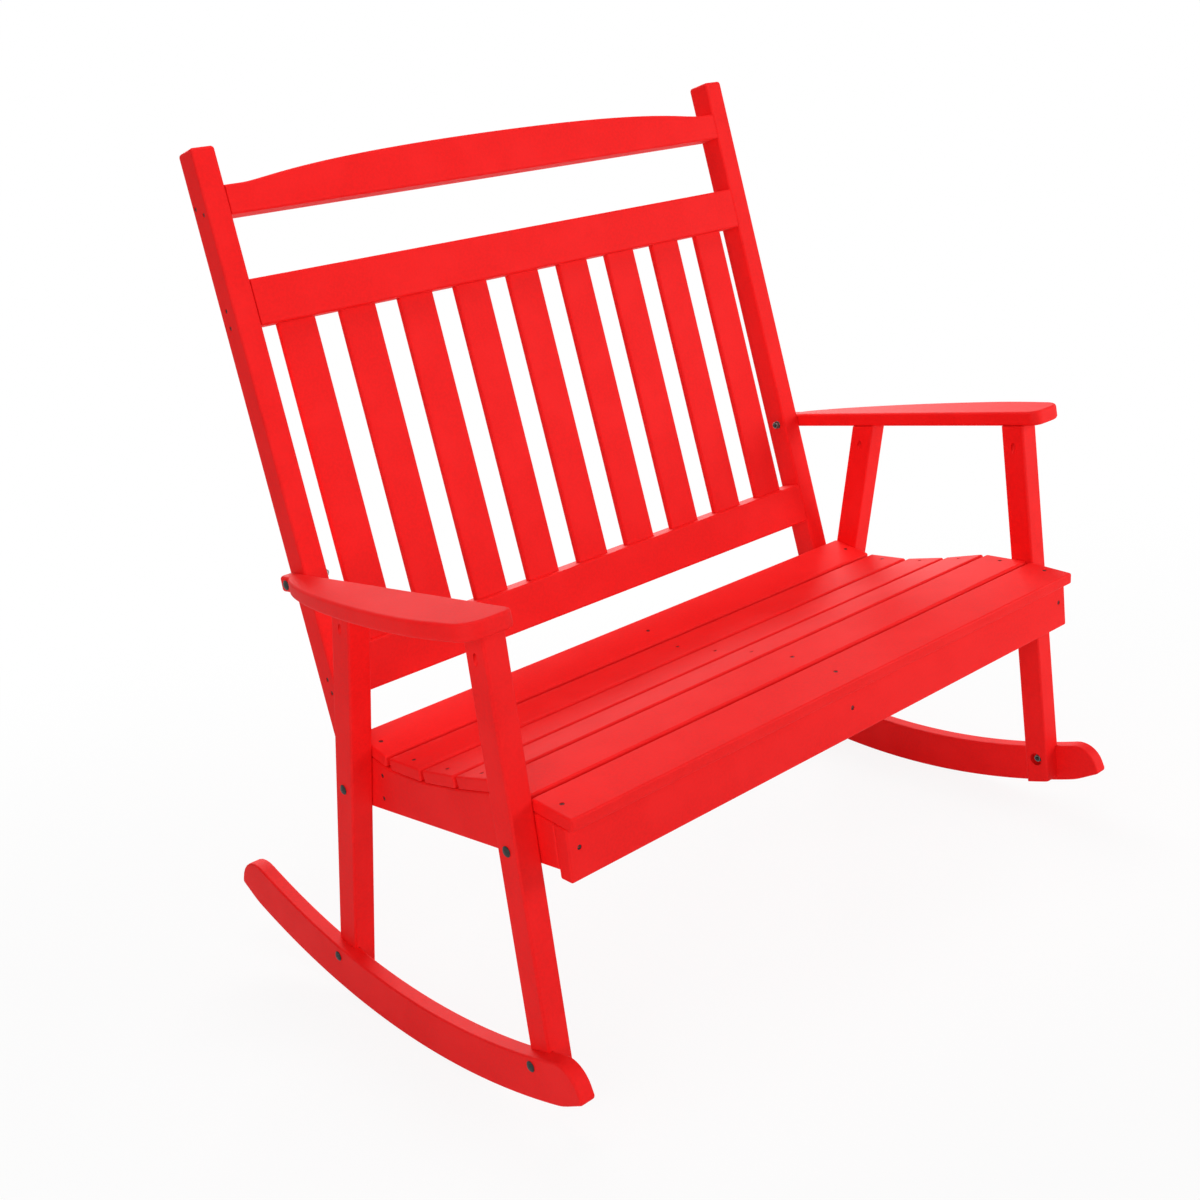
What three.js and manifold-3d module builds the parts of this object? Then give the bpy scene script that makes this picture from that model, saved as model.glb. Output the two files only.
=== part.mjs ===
// Rocking bench for two, in solid-coloured poly lumber boards held by bolts and screws.
// Millimetres, +Z up. The bench is drawn square to its back: x runs along the bench, "reach" runs
// forward from the front face of the back (towards -Y) and "rise" runs up along the back from the
// underside of its lower rail. At the end the bench leans back on its rockers, to where its weight
// hangs under the centre of their curve.

import * as THREE from 'three';
import { mergeVertices } from 'three/addons/utils/BufferGeometryUtils.js';
import Module from 'manifold-3d';

const wasm = await Module();
wasm.setup();

// Fits and finish
const jointGap = 0.3;
const cutOverrun = 4;
const boardRound = 3.6;
const endRound = 3;
const chordTolerance = 0.25;
const shortestFlat = 1.2;
const roundFlats = 2;
const boreFlats = 16;
const boardDensity = 1100;
const steelDensity = 7850;

// Back: two posts, two rails, the crest and the upright slats. The posts stand on above the crest's
// ends, the crest a clear gap above the upper rail, and the outer slats a clear gap from the posts.
const benchWidth = 1020;
const postWidth = 36;
const postDepth = 44;
const postTopLead = 55.6;
const postFootDrop = 150;
const lowerRailHeight = 68;
const upperRailRise = 540.2;
const upperRailHeight = 67;
const crestGap = 90.8;
const crestEndHeight = 42.4;
const crestCrown = 22.9;
const crestShoulder = 24.5;
const crestShoulderEaseShare = 0.095;
const crestCrownEaseShare = 0.79;
const crestFlats = 12;
const backSlatCount = 9;
const backSlatWidth = 61;
const backSlatThickness = 12;
const backSlatEndGap = 32.3;
const backSlatSetback = 14.5;
const backSlatHousing = 8;

// Seat: slats laid on a curve, listed from the back by how far each falls towards the front, degrees
const seatSlatWidth = 76;
const seatSlatThickness = 18;
const seatSlatGap = 7;
const seatSlatFalls = [21.8, 7.7, 0.6, -2, 10.5, 15.5];
const seatRearReach = 24;
const seatRearDrop = 46;
const sideRailWidth = 35;
const sideRailRearDrop = 153;
const sideRailFrontDrop = 190.5;
const centreSupportWidth = 35;
const crossRailThickness = 23;
const crossRailHeight = 66;
const crossRailPlace = 65;
const apronThickness = 23;
const apronHeight = 71.5;
const apronFall = 11;
const apronSetback = 13;

// Legs, each set by its tilt, degrees, and by the bolt that holds it to the seat. The rear bolt is
// placed from the back and the front one from the rear face of the apron, both at a rise above the
// bottom edge of the side rail.
const legWidth = 35;
const legTongue = 27.5;
const rearLegDepth = 43;
const rearLegReach = 15;
const rearLegBoltRise = 38.6;
const rearLegTilt = 26.04;
const frontLegDepth = 40.5;
const frontLegInset = 59.5;
const frontLegBoltRise = 28.2;
const frontLegTilt = 9.5;
const legFootClearance = 8;
const pocketDiameter = 8.5;
const pocketDrop = 36.5;
const pocketDepth = 20;
const pocketAngle = 27;

// Arms, drawn flat and then tipped by their slope, degrees. They end a set way past the front legs,
// and their tails a set way short of the posts' rear faces.
const armThickness = 23;
const armRise = 190.2;
const armSlope = 5.9;
const armTailWidth = 22.5;
const armTailInset = 8;
const armTailReach = -8;
const armWidth = 84;
const armFrontWidth = 76;
const armFrontLead = 51;
const armEaseLength = 122;
const armOuterRound = 34;
const armInnerRound = 16;
const armTailRound = 7;
const armEdgeRound = 4.5;
const armWaistShare = 0.072;
const armWaistWidthShare = 0.37;
const armSwellShare = 0.51;
const armEaseShare = 0.36;
const armFlats = 10;

// Rockers: a bottom arc, and a top arc whose centre lies a little further forward. They run on a
// set way past the bolts that hold them to the legs, and the heels at both ends of the bottom lift
// off its arc.
const rockerWidth = 23;
const rockerRadius = 1320.5;
const rockerLowReach = 253.5;
const rockerLowDrop = 491.3;
const rockerDepth = 61.9;
const rockerTaper = 28;
const rockerRearTail = 292.5;
const rockerFrontLead = 95.4;
const rockerRearRound = 61;
const rockerFrontRound = 36;
const rockerHeelRound = 6;
const rockerHeelLength = 48;
const rockerHeelLift = 7.5;
const rockerHeelEase = 120;
const rockerFlat = 20;
const easeRoomShare = 1.06;

// Bolts and nuts
const boltDiameter = 6.4;
const boltHeadDiameter = 14.6;
const boltHeadHeight = 3.4;
const boltRimShare = 0.2;
const boltDomeShare = 0.62;
const boltPastNut = 2;
const nutFlangeDiameter = 13.8;
const nutFlangeThickness = 1.4;
const nutAcross = 11;
const nutThickness = 5.4;
const nutSides = 6;
const boltFlats = 12;
const armBoltReach = -18;
const rearRockerBoltInset = 17;
const frontRockerBoltInset = 13.3;
const counterboreDiameter = 21;
const counterboreDepth = 11;

// Places worked out from the sizes above
const benchHalf = benchWidth / 2;
const postInner = benchHalf - postWidth;
const crestRise = upperRailRise + upperRailHeight + crestGap;
const postTopRise = crestRise + crestEndHeight + postTopLead;
const backSlatPitch = (2 * (postInner - backSlatEndGap) - backSlatWidth) / (backSlatCount - 1);
const railHalf = postInner - jointGap;
const sideInner = benchHalf + jointGap;
const legOuter = sideInner + legWidth;
const rockerInner = sideInner + legTongue + jointGap;
const rockerOuter = rockerInner + rockerWidth;
const boltHoleRadius = boltDiameter / 2 + jointGap;

// Finishes
const finish = (color, roughness, metalness) => (
  new THREE.MeshStandardMaterial({ color, roughness, metalness, flatShading: true })
);
const board = finish(0xe81f1c, 0.5, 0);
const darkSteel = finish(0x3a3634, 0.45, 0.9);
const plainSteel = finish(0x9a9a96, 0.4, 1);

// Angles and plane lines. A Vector2 here is a point in the side view: reach, then rise.
const radians = THREE.MathUtils.degToRad;

const falling = (degrees) => new THREE.Vector2(Math.cos(radians(degrees)), -Math.sin(radians(degrees)));

const climbing = (degrees) => new THREE.Vector2(Math.sin(radians(degrees)), Math.cos(radians(degrees)));

const lineOf = (origin, along) => ({ origin, along });

const onLine = (line, distance) => line.origin.clone().addScaledVector(line.along, distance);

// The same line moved square to itself, to the right of the way it runs
function beside(line, distance) {
  const square = new THREE.Vector2(line.along.y, -line.along.x);
  return lineOf(line.origin.clone().addScaledVector(square, distance), line.along);
}

// Where two lines of the side view cross
function crossing(first, second) {
  const between = second.origin.clone().sub(first.origin);
  const distance = between.cross(second.along) / first.along.cross(second.along);
  return onLine(first, distance);
}

// Where a line leaves a circle, on the far side along the way it runs
function leaving(line, circle) {
  const offset = line.origin.clone().sub(circle.centre);
  const half = offset.dot(line.along);
  const distance = Math.sqrt(half * half - offset.lengthSq() + circle.radius ** 2) - half;
  return onLine(line, distance);
}

// The point of a line at a given reach
const atReach = (line, reach) => onLine(line, (reach - line.origin.x) / line.along.x);

// One corner of an outline, eased with its round
const corner = (x, y, round = 0) => ({ x, y, round });

const cornerAt = (point, round = 0) => corner(point.x, point.y, round);

// How many flats an arc takes to stay within the chord tolerance
function flatsFor(angle, radius) {
  const step = Math.sqrt((8 * chordTolerance) / radius);
  return Math.max(roundFlats, Math.round(angle / step));
}

// A closed shape through the corners, with an arc at each one that has a round
function outline(corners) {
  const points = [];
  corners.forEach((here, index) => {
    const vertex = new THREE.Vector2(here.x, here.y);
    if (here.round === 0) {
      points.push(vertex);
      return;
    }
    const before = corners[(index + corners.length - 1) % corners.length];
    const after = corners[(index + 1) % corners.length];
    const back = new THREE.Vector2(before.x, before.y).sub(vertex).normalize();
    const ahead = new THREE.Vector2(after.x, after.y).sub(vertex).normalize();
    const half = Math.acos(THREE.MathUtils.clamp(back.dot(ahead), -1, 1)) / 2;
    const middle = back.clone().add(ahead).normalize();
    const centre = vertex.clone().addScaledVector(middle, here.round / Math.sin(half));
    const start = vertex.clone().addScaledVector(back, here.round / Math.tan(half));
    const sweep = (Math.PI - 2 * half) * Math.sign(ahead.cross(back));
    const flats = flatsFor(Math.abs(sweep), here.round);
    for (let step = 0; step <= flats; step += 1) {
      points.push(start.clone().rotateAround(centre, (sweep * step) / flats));
    }
  });
  return new THREE.Shape(points.filter((point, index) => (
    point.distanceTo(points[(index + points.length - 1) % points.length]) > shortestFlat
  )));
}

// A rectangle about the origin with eased corners
function section(width, height, round = boardRound) {
  const right = width / 2;
  const top = height / 2;
  return outline([
    corner(-right, -top, round),
    corner(right, -top, round),
    corner(right, top, round),
    corner(-right, top, round),
  ]);
}

// A shape drawn through a thickness along z from zero, its two faces eased by a round
function drawn(shape, thickness, round = 0) {
  const geometry = new THREE.ExtrudeGeometry(shape, {
    depth: thickness - 2 * round,
    steps: 1,
    bevelEnabled: round > 0,
    bevelThickness: round,
    bevelSize: round,
    bevelOffset: -round,
    bevelSegments: roundFlats,
  });
  return geometry.translate(0, 0, round);
}

// A stick about the origin, its length along z
const stick = (width, depth, length, round = 0) => (
  drawn(section(width, depth), length, round).translate(0, 0, -length / 2)
);

// A side-view shape carried along the bench between two places on x
function acrossBench(shape, fromX, toX, round = 0) {
  const placed = new THREE.Matrix4().makeBasis(
    new THREE.Vector3(0, -1, 0),
    new THREE.Vector3(0, 0, 1),
    new THREE.Vector3(-1, 0, 0),
  );
  placed.setPosition(toX, 0, 0);
  return drawn(shape, toX - fromX, round).applyMatrix4(placed);
}

// A stick along x between two places, its section centred on a point of the side view
const railAcross = (depth, height, fromX, toX, reach, rise, round = 0) => (
  acrossBench(section(depth, height), fromX, toX, round).translate(0, -reach, rise)
);

// A round pin along x, used for bores
function pinAcross(radius, fromX, toX, place) {
  const pin = new THREE.CylinderGeometry(radius, radius, toX - fromX, boreFlats);
  return pin.rotateZ(Math.PI / 2).translate((fromX + toX) / 2, -place.x, place.y);
}

// The mirror image across the middle of the bench, with its faces still pointing out
function mirrored(geometry) {
  const copy = mergeVertices(bare(geometry)).scale(-1, 1, 1);
  const index = copy.getIndex();
  for (let face = 0; face < index.count; face += 3) {
    const first = index.getX(face);
    index.setX(face, index.getX(face + 1));
    index.setX(face + 1, first);
  }
  return copy;
}

// A copy with positions only
function bare(geometry) {
  const copy = geometry.clone();
  copy.deleteAttribute('normal');
  copy.deleteAttribute('uv');
  return copy;
}

// To a solid for joining and cutting, and back to a geometry
function solidOf(geometry) {
  const merged = mergeVertices(bare(geometry));
  const vertProperties = new Float32Array(merged.getAttribute('position').array);
  const triVerts = new Uint32Array(merged.getIndex().array);
  return new wasm.Manifold(new wasm.Mesh({ numProp: 3, vertProperties, triVerts }));
}

function geometryOf(solid) {
  const mesh = solid.getMesh();
  const geometry = new THREE.BufferGeometry();
  geometry.setAttribute('position', new THREE.BufferAttribute(mesh.vertProperties, 3));
  geometry.setIndex(new THREE.BufferAttribute(mesh.triVerts, 1));
  return geometry;
}

const cut = (geometry, tools) => (
  geometryOf(tools.reduce((left, tool) => left.subtract(solidOf(tool)), solidOf(geometry)))
);

const kept = (geometry, envelope) => geometryOf(solidOf(geometry).intersect(solidOf(envelope)));

const joined = (first, second) => geometryOf(solidOf(first).add(solidOf(second)));

// Seat curve: the top line of each slat, from the back
function seatLines() {
  const start = new THREE.Vector2(seatRearReach, -seatRearDrop);
  return seatSlatFalls.map((fall, index) => {
    const line = lineOf(start.clone(), falling(fall));
    const nextFall = seatSlatFalls[index + 1] ?? fall;
    start.addScaledVector(line.along, seatSlatWidth);
    start.addScaledVector(falling((fall + nextFall) / 2), seatSlatGap);
    return line;
  });
}

const slatTops = seatLines();
const slatUndersides = slatTops.map((line) => beside(line, seatSlatThickness + jointGap));
const firstUnderside = slatUndersides[0];
const lastUnderside = slatUndersides[slatUndersides.length - 1];

// Apron: its front face line runs down from the underside of the last slat
const apronTop = onLine(lastUnderside, seatSlatWidth - apronSetback);
const apronFront = lineOf(apronTop, climbing(apronFall).negate());
const apronRear = beside(apronFront, apronThickness);
const apronSeat = beside(apronFront, apronThickness + jointGap);

// Rear cross rail: square to the first slat
const crossRailMiddle = lineOf(onLine(firstUnderside, crossRailPlace), climbing(seatSlatFalls[0]).negate());
const crossRailSeat = beside(crossRailMiddle, -crossRailThickness / 2 - jointGap);

const sideRailBottom = lineOf(
  new THREE.Vector2(jointGap, -sideRailRearDrop),
  new THREE.Vector2(apronRear.origin.x, sideRailRearDrop - sideRailFrontDrop).normalize(),
);

// Rockers: both arcs hang from centres above the seat
const rockerBottom = {
  centre: new THREE.Vector2(rockerLowReach, rockerRadius - rockerLowDrop),
  radius: rockerRadius,
};
const rockerTop = {
  centre: rockerBottom.centre.clone().add(new THREE.Vector2(rockerTaper, 0)),
  radius: rockerRadius - rockerDepth,
};

// A leg's middle line, running up from the bolt that holds it to the side rail
function legLine(reach, boltRise, tilt) {
  const bolt = atReach(sideRailBottom, reach).add(new THREE.Vector2(0, boltRise));
  return lineOf(bolt, climbing(tilt));
}

const rearLeg = {
  depth: rearLegDepth,
  tilt: rearLegTilt,
  rockerBoltInset: rearRockerBoltInset,
  middle: legLine(rearLegReach, rearLegBoltRise, rearLegTilt),
};
const frontLeg = {
  depth: frontLegDepth,
  tilt: frontLegTilt,
  rockerBoltInset: frontRockerBoltInset,
  middle: legLine(apronRear.origin.x - frontLegInset, frontLegBoltRise, frontLegTilt),
};

const armTop = lineOf(new THREE.Vector2(0, armRise), falling(armSlope));
const armUnderside = beside(armTop, armThickness + jointGap);
const armFrontReach = crossing(frontLeg.middle, armUnderside).x + armFrontLead;
const armWidestReach = armFrontReach - armEaseLength;

const downward = (line) => lineOf(line.origin, line.along.clone().negate());

function rockerBoltPlace(leg) {
  const line = downward(leg.middle);
  return leaving(line, rockerTop).addScaledVector(line.along, leg.rockerBoltInset);
}

const armBoltPlace = atReach(beside(armTop, armThickness / 2), armBoltReach);

// Back posts, each with a bore for its arm bolt
function postGeometry(side) {
  const length = postTopRise + postFootDrop;
  const middleX = side * (benchHalf - postWidth / 2);
  const post = stick(postWidth, postDepth, length, endRound);
  post.translate(middleX, postDepth / 2, postTopRise - length / 2);
  const bore = pinAcross(
    boltHoleRadius,
    middleX - postWidth / 2 - cutOverrun,
    middleX + postWidth / 2 + cutOverrun,
    armBoltPlace,
  );
  return cut(post, [bore]);
}

// One back slat as a stick standing at its place; grown makes the housing that it sits in
function backSlatStick(index, grown = 0) {
  const width = backSlatWidth + 2 * grown;
  const depth = backSlatThickness + 2 * grown;
  const foot = lowerRailHeight - backSlatHousing - grown;
  const top = upperRailRise + backSlatHousing + grown;
  const x = (index - (backSlatCount - 1) / 2) * backSlatPitch;
  const slat = drawn(section(width, depth, boardRound + grown), top - foot);
  return slat.translate(x, backSlatSetback + backSlatThickness / 2, foot);
}

const slatHousings = Array.from({ length: backSlatCount }, (_, index) => backSlatStick(index, jointGap));

function backRailGeometry(rise, height) {
  const rail = railAcross(postDepth, height, -railHalf, railHalf, -postDepth / 2, rise + height / 2);
  return cut(rail, slatHousings);
}

// Crest: a level stretch beside each post, then one easy curve up to the crown
function crestGeometry() {
  const ends = railHalf + cutOverrun;
  const shoulder = postInner - crestShoulder;
  const endRise = crestRise + crestEndHeight;
  const crownRise = endRise + crestCrown;
  const rightHalf = new THREE.CubicBezierCurve(
    new THREE.Vector2(shoulder, endRise),
    new THREE.Vector2(shoulder * (1 - crestShoulderEaseShare), endRise),
    new THREE.Vector2(shoulder * crestCrownEaseShare, crownRise),
    new THREE.Vector2(0, crownRise),
  ).getPoints(crestFlats);
  const leftHalf = rightHalf.slice(0, -1).reverse().map((point) => new THREE.Vector2(-point.x, point.y));
  const shape = outline([
    corner(-ends, crestRise),
    corner(ends, crestRise),
    corner(ends, endRise),
    ...[...rightHalf, ...leftHalf].map((point) => cornerAt(point)),
    corner(-ends, endRise),
  ]);
  const crest = drawn(shape, postDepth, boardRound).rotateX(Math.PI / 2).translate(0, postDepth, 0);
  const betweenPosts = new THREE.BoxGeometry(2 * railHalf, 2 * postDepth, 2 * crownRise);
  betweenPosts.translate(0, postDepth / 2, crownRise);
  return kept(crest, betweenPosts);
}

// Seat slat about its own centre, lying flat
const seatSlatGeometry = drawn(section(seatSlatWidth, seatSlatThickness), benchWidth, endRound)
  .translate(0, 0, -benchWidth / 2)
  .rotateZ(Math.PI / 2)
  .rotateY(Math.PI / 2);

// A seat bearer follows the undersides of the slats above it, and ends at the apron
function bearerShape(rearLine, undersides) {
  const ridge = undersides.slice(1).map((line, index) => crossing(undersides[index], line));
  return outline([
    cornerAt(crossing(rearLine, sideRailBottom)),
    cornerAt(crossing(apronSeat, sideRailBottom)),
    cornerAt(crossing(apronSeat, lastUnderside)),
    ...ridge.reverse().map((point) => cornerAt(point)),
    cornerAt(crossing(rearLine, undersides[0])),
  ]);
}

const postFaceLine = lineOf(new THREE.Vector2(jointGap, 0), new THREE.Vector2(0, 1));

function sideRailGeometry(side) {
  const middleX = side * (benchHalf - sideRailWidth / 2);
  const fromX = middleX - sideRailWidth / 2;
  const toX = middleX + sideRailWidth / 2;
  const rail = acrossBench(bearerShape(postFaceLine, slatUndersides), fromX, toX, endRound);
  const bores = [rearLeg, frontLeg].map((leg) => (
    pinAcross(boltHoleRadius, fromX - cutOverrun, toX + cutOverrun, leg.middle.origin)
  ));
  return cut(rail, bores);
}

// The centre support starts at the cross rail, under the second slat
const centreSupportGeometry = () => acrossBench(
  bearerShape(crossRailSeat, slatUndersides.slice(1)),
  -centreSupportWidth / 2,
  centreSupportWidth / 2,
  endRound,
);

function crossRailGeometry() {
  const middle = onLine(crossRailMiddle, crossRailHeight / 2);
  const half = benchHalf - sideRailWidth - jointGap;
  const rail = drawn(section(crossRailThickness, crossRailHeight), 2 * half).translate(0, 0, -half);
  rail.rotateX(Math.PI / 2).rotateZ(-Math.PI / 2);
  return rail.rotateX(radians(seatSlatFalls[0])).translate(0, -middle.x, middle.y);
}

function apronGeometry() {
  const frontFoot = onLine(apronFront, apronHeight);
  const rearFoot = onLine(apronRear, apronHeight);
  const shape = outline([
    cornerAt(rearFoot, boardRound),
    cornerAt(frontFoot, boardRound),
    cornerAt(apronFront.origin, boardRound),
    cornerAt(crossing(apronRear, lastUnderside), boardRound),
  ]);
  return acrossBench(shape, -benchHalf, benchHalf, endRound);
}

// Points on a circle: an angle counts forward from straight below the centre
const below = (angle) => new THREE.Vector2(Math.sin(angle), -Math.cos(angle));

const onCircle = (circle, angle) => circle.centre.clone().addScaledVector(below(angle), circle.radius);

const angleAt = (circle, reach) => Math.asin((reach - circle.centre.x) / circle.radius);

// An arc in flats of about the rocker's flat
function arcCorners(circle, from, to) {
  const flats = Math.round((Math.abs(to - from) * circle.radius) / rockerFlat);
  return Array.from({ length: flats + 1 }, (_, step) => (
    cornerAt(onCircle(circle, from + ((to - from) * step) / flats))
  ));
}

// The rocker's bottom arc ends where its heels lift off the floor
const rockerSpan = {
  rear: angleAt(rockerBottom, rockerBoltPlace(rearLeg).x - rockerRearTail),
  front: angleAt(rockerBottom, rockerBoltPlace(frontLeg).x + rockerFrontLead),
  heel: rockerHeelLength / rockerRadius,
  ease: (rockerHeelEase * rockerHeelLift) / rockerHeelLength / rockerRadius,
};

// Rocker outline in the side view; grown makes the notch that it leaves in a leg
function rockerShape(grown = 0) {
  const { rear, front, heel, ease } = rockerSpan;
  const bottom = { centre: rockerBottom.centre, radius: rockerBottom.radius + grown };
  const heels = { centre: rockerBottom.centre, radius: bottom.radius - rockerHeelLift };
  const top = { centre: rockerTop.centre, radius: rockerTop.radius - grown };
  const frontTop = leaving(lineOf(bottom.centre, below(front)), top);
  const rearTop = leaving(lineOf(bottom.centre, below(rear)), top);
  const frontRoom = (rockerFrontRound * easeRoomShare) / top.radius;
  const rearRoom = (rockerRearRound * easeRoomShare) / top.radius;
  return outline([
    cornerAt(onCircle(heels, rear), rockerHeelRound),
    cornerAt(onCircle(bottom, rear + heel), rockerHeelEase),
    ...arcCorners(bottom, rear + heel + ease, front - heel - ease),
    cornerAt(onCircle(bottom, front - heel), rockerHeelEase),
    cornerAt(onCircle(heels, front), rockerHeelRound),
    cornerAt(frontTop, rockerFrontRound),
    ...arcCorners(top, angleAt(top, frontTop.x) - frontRoom, angleAt(top, rearTop.x) + rearRoom),
    cornerAt(rearTop, rockerRearRound),
  ]);
}

function rockerGeometry() {
  const rocker = acrossBench(rockerShape(), rockerInner, rockerOuter, endRound);
  const bores = [rearLeg, frontLeg].map((leg) => (
    pinAcross(boltHoleRadius, rockerInner - cutOverrun, rockerOuter + cutOverrun, rockerBoltPlace(leg))
  ));
  return cut(rocker, bores);
}

// What the legs may fill: from just above the rockers' bottom arc to the underside of the arms
function legEnvelope() {
  const foot = { centre: rockerBottom.centre, radius: rockerRadius - legFootClearance };
  const reaches = [rearLeg, frontLeg].map((leg) => leaving(downward(leg.middle), foot).x);
  const arc = arcCorners(
    foot,
    angleAt(foot, reaches[0] - rearLegDepth),
    angleAt(foot, reaches[1] + frontLegDepth),
  );
  const frontTop = atReach(armUnderside, armFrontReach);
  const rearTop = atReach(armUnderside, arc[0].x);
  const shape = outline([...arc, cornerAt(frontTop), cornerAt(rearTop)]);
  return acrossBench(shape, sideInner - cutOverrun, rockerOuter);
}

// A slanted bore for the screw up into the arm, started on one face of the leg
function pocketBore(leg, face) {
  const mouth = crossing(leg.middle, armUnderside).addScaledVector(leg.middle.along, -pocketDrop);
  const radius = pocketDiameter / 2;
  const bore = new THREE.CylinderGeometry(radius, radius, 2 * pocketDepth, boreFlats);
  bore.rotateX(Math.PI / 2).rotateY(-face * radians(pocketAngle)).rotateX(radians(leg.tilt));
  const middleX = sideInner + legWidth / 2;
  return bore.translate(middleX + (face * legWidth) / 2, -mouth.x, mouth.y);
}

function legGeometry(leg) {
  const top = crossing(leg.middle, armUnderside);
  const foot = leaving(downward(leg.middle), rockerBottom);
  const length = top.distanceTo(foot) + 2 * leg.depth;
  const middle = top.clone().add(foot).divideScalar(2);
  const middleX = sideInner + legWidth / 2;
  const raw = stick(legWidth, leg.depth, length).rotateX(radians(leg.tilt));
  const trimmed = kept(raw.translate(middleX, -middle.x, middle.y), legEnvelope());
  const fromX = sideInner - cutOverrun;
  const boltPlace = rockerBoltPlace(leg);
  return cut(trimmed, [
    acrossBench(rockerShape(jointGap), rockerInner - jointGap, rockerOuter),
    pinAcross(boltHoleRadius, fromX, legOuter + cutOverrun, leg.middle.origin),
    pinAcross(boltHoleRadius, fromX, legOuter + cutOverrun, boltPlace),
    pinAcross(counterboreDiameter / 2, fromX, sideInner + counterboreDepth, boltPlace),
    pocketBore(leg, -1),
    pocketBore(leg, 1),
  ]);
}

// Arm: straight inside edge, and an outer edge that swells from the tail and eases in at the front
function armGeometry() {
  const slope = Math.cos(radians(armSlope));
  const out = (width) => sideInner + width;
  const ahead = (reach) => -reach / slope;
  const swellRun = armWidestReach - armTailReach;
  const easeRun = armEaseLength - armOuterRound;
  const frontStart = armWidestReach + easeRun;
  const swell = new THREE.CubicBezierCurve(
    new THREE.Vector2(out(armTailWidth), ahead(armTailReach)),
    new THREE.Vector2(
      out(armTailWidth + armWaistWidthShare * (armWidth - armTailWidth)),
      ahead(armTailReach + armWaistShare * swellRun),
    ),
    new THREE.Vector2(out(armWidth), ahead(armTailReach + armSwellShare * swellRun)),
    new THREE.Vector2(out(armWidth), ahead(armWidestReach)),
  ).getPoints(armFlats);
  const ease = new THREE.QuadraticBezierCurve(
    new THREE.Vector2(out(armWidth), ahead(armWidestReach)),
    new THREE.Vector2(out(armWidth), ahead(armWidestReach + armEaseShare * easeRun)),
    new THREE.Vector2(out(armFrontWidth), ahead(frontStart)),
  ).getPoints(roundFlats + 1);
  const shape = outline([
    corner(out(0), ahead(armTailInset - postDepth), armTailRound),
    corner(out(0), ahead(armFrontReach), armInnerRound),
    corner(out(armFrontWidth), ahead(armFrontReach), armOuterRound),
    ...ease.reverse().map((point) => cornerAt(point)),
    ...swell.reverse().slice(1).map((point) => cornerAt(point)),
    corner(out(armTailWidth), ahead(armTailInset - postDepth), armTailRound),
  ]);
  const arm = drawn(shape, armThickness, armEdgeRound).translate(0, 0, -armThickness);
  arm.rotateX(radians(armSlope)).translate(0, 0, armRise);
  const bore = pinAcross(boltHoleRadius, sideInner - cutOverrun, sideInner + armWidth, armBoltPlace);
  return cut(arm, [bore]);
}

// Bolt along x with its domed head outwards, and the nut on its inner end
function boltGeometry(headX, nutX) {
  const headRadius = boltHeadDiameter / 2;
  const length = headX - nutX + nutFlangeThickness + nutThickness + boltPastNut;
  const shank = boltDiameter / 2;
  const dome = new THREE.QuadraticBezierCurve(
    new THREE.Vector2(headRadius, boltHeadHeight * boltRimShare),
    new THREE.Vector2(headRadius * boltDomeShare, boltHeadHeight),
    new THREE.Vector2(0, boltHeadHeight),
  ).getPoints(roundFlats + 1);
  const profile = [
    new THREE.Vector2(0, -length),
    new THREE.Vector2(shank, -length),
    new THREE.Vector2(shank, 0),
    new THREE.Vector2(headRadius, 0),
    ...dome,
  ];
  profile[profile.length - 1].x = 0;
  return new THREE.LatheGeometry(profile, boltFlats).rotateZ(-Math.PI / 2);
}

function nutGeometry() {
  const flange = new THREE.CylinderGeometry(
    nutFlangeDiameter / 2,
    nutFlangeDiameter / 2,
    nutFlangeThickness,
    boreFlats,
  ).translate(0, -nutFlangeThickness / 2, 0);
  const length = nutThickness + nutFlangeThickness;
  const corners = nutAcross / 2 / Math.cos(Math.PI / nutSides);
  const hexagon = new THREE.CylinderGeometry(corners, corners, length, nutSides);
  hexagon.translate(0, -length / 2, 0);
  const boreLength = length + 2 * cutOverrun;
  const bore = new THREE.CylinderGeometry(boltHoleRadius, boltHoleRadius, boreLength, boreFlats);
  bore.translate(0, -length / 2, 0);
  return cut(joined(flange, hexagon), [bore]).rotateZ(-Math.PI / 2);
}

const bench = new THREE.Group();

function addPiece(group, name, geometry, material) {
  const mesh = new THREE.Mesh(geometry, material);
  mesh.name = name;
  group.add(mesh);
  return mesh;
}

function backFrame() {
  const group = new THREE.Group();
  addPiece(group, 'back_post_left', postGeometry(-1), board);
  addPiece(group, 'back_post_right', postGeometry(1), board);
  addPiece(group, 'lower_back_rail', backRailGeometry(0, lowerRailHeight), board);
  addPiece(group, 'upper_back_rail', backRailGeometry(upperRailRise, upperRailHeight), board);
  addPiece(group, 'crest_rail', crestGeometry(), board);
  for (let index = 0; index < backSlatCount; index += 1) {
    addPiece(group, `back_slat_${index + 1}`, backSlatStick(index), board);
  }
  return group;
}

function seat() {
  const group = new THREE.Group();
  addPiece(group, 'side_rail_left', sideRailGeometry(-1), board);
  addPiece(group, 'side_rail_right', sideRailGeometry(1), board);
  addPiece(group, 'centre_support', centreSupportGeometry(), board);
  addPiece(group, 'rear_cross_rail', crossRailGeometry(), board);
  addPiece(group, 'front_apron', apronGeometry(), board);
  slatTops.forEach((line, index) => {
    const middle = onLine(beside(line, seatSlatThickness / 2), seatSlatWidth / 2);
    const slat = addPiece(group, `seat_slat_${index + 1}`, seatSlatGeometry, board);
    slat.position.set(0, -middle.x, middle.y);
    slat.rotation.x = radians(seatSlatFalls[index]);
  });
  return group;
}

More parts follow.
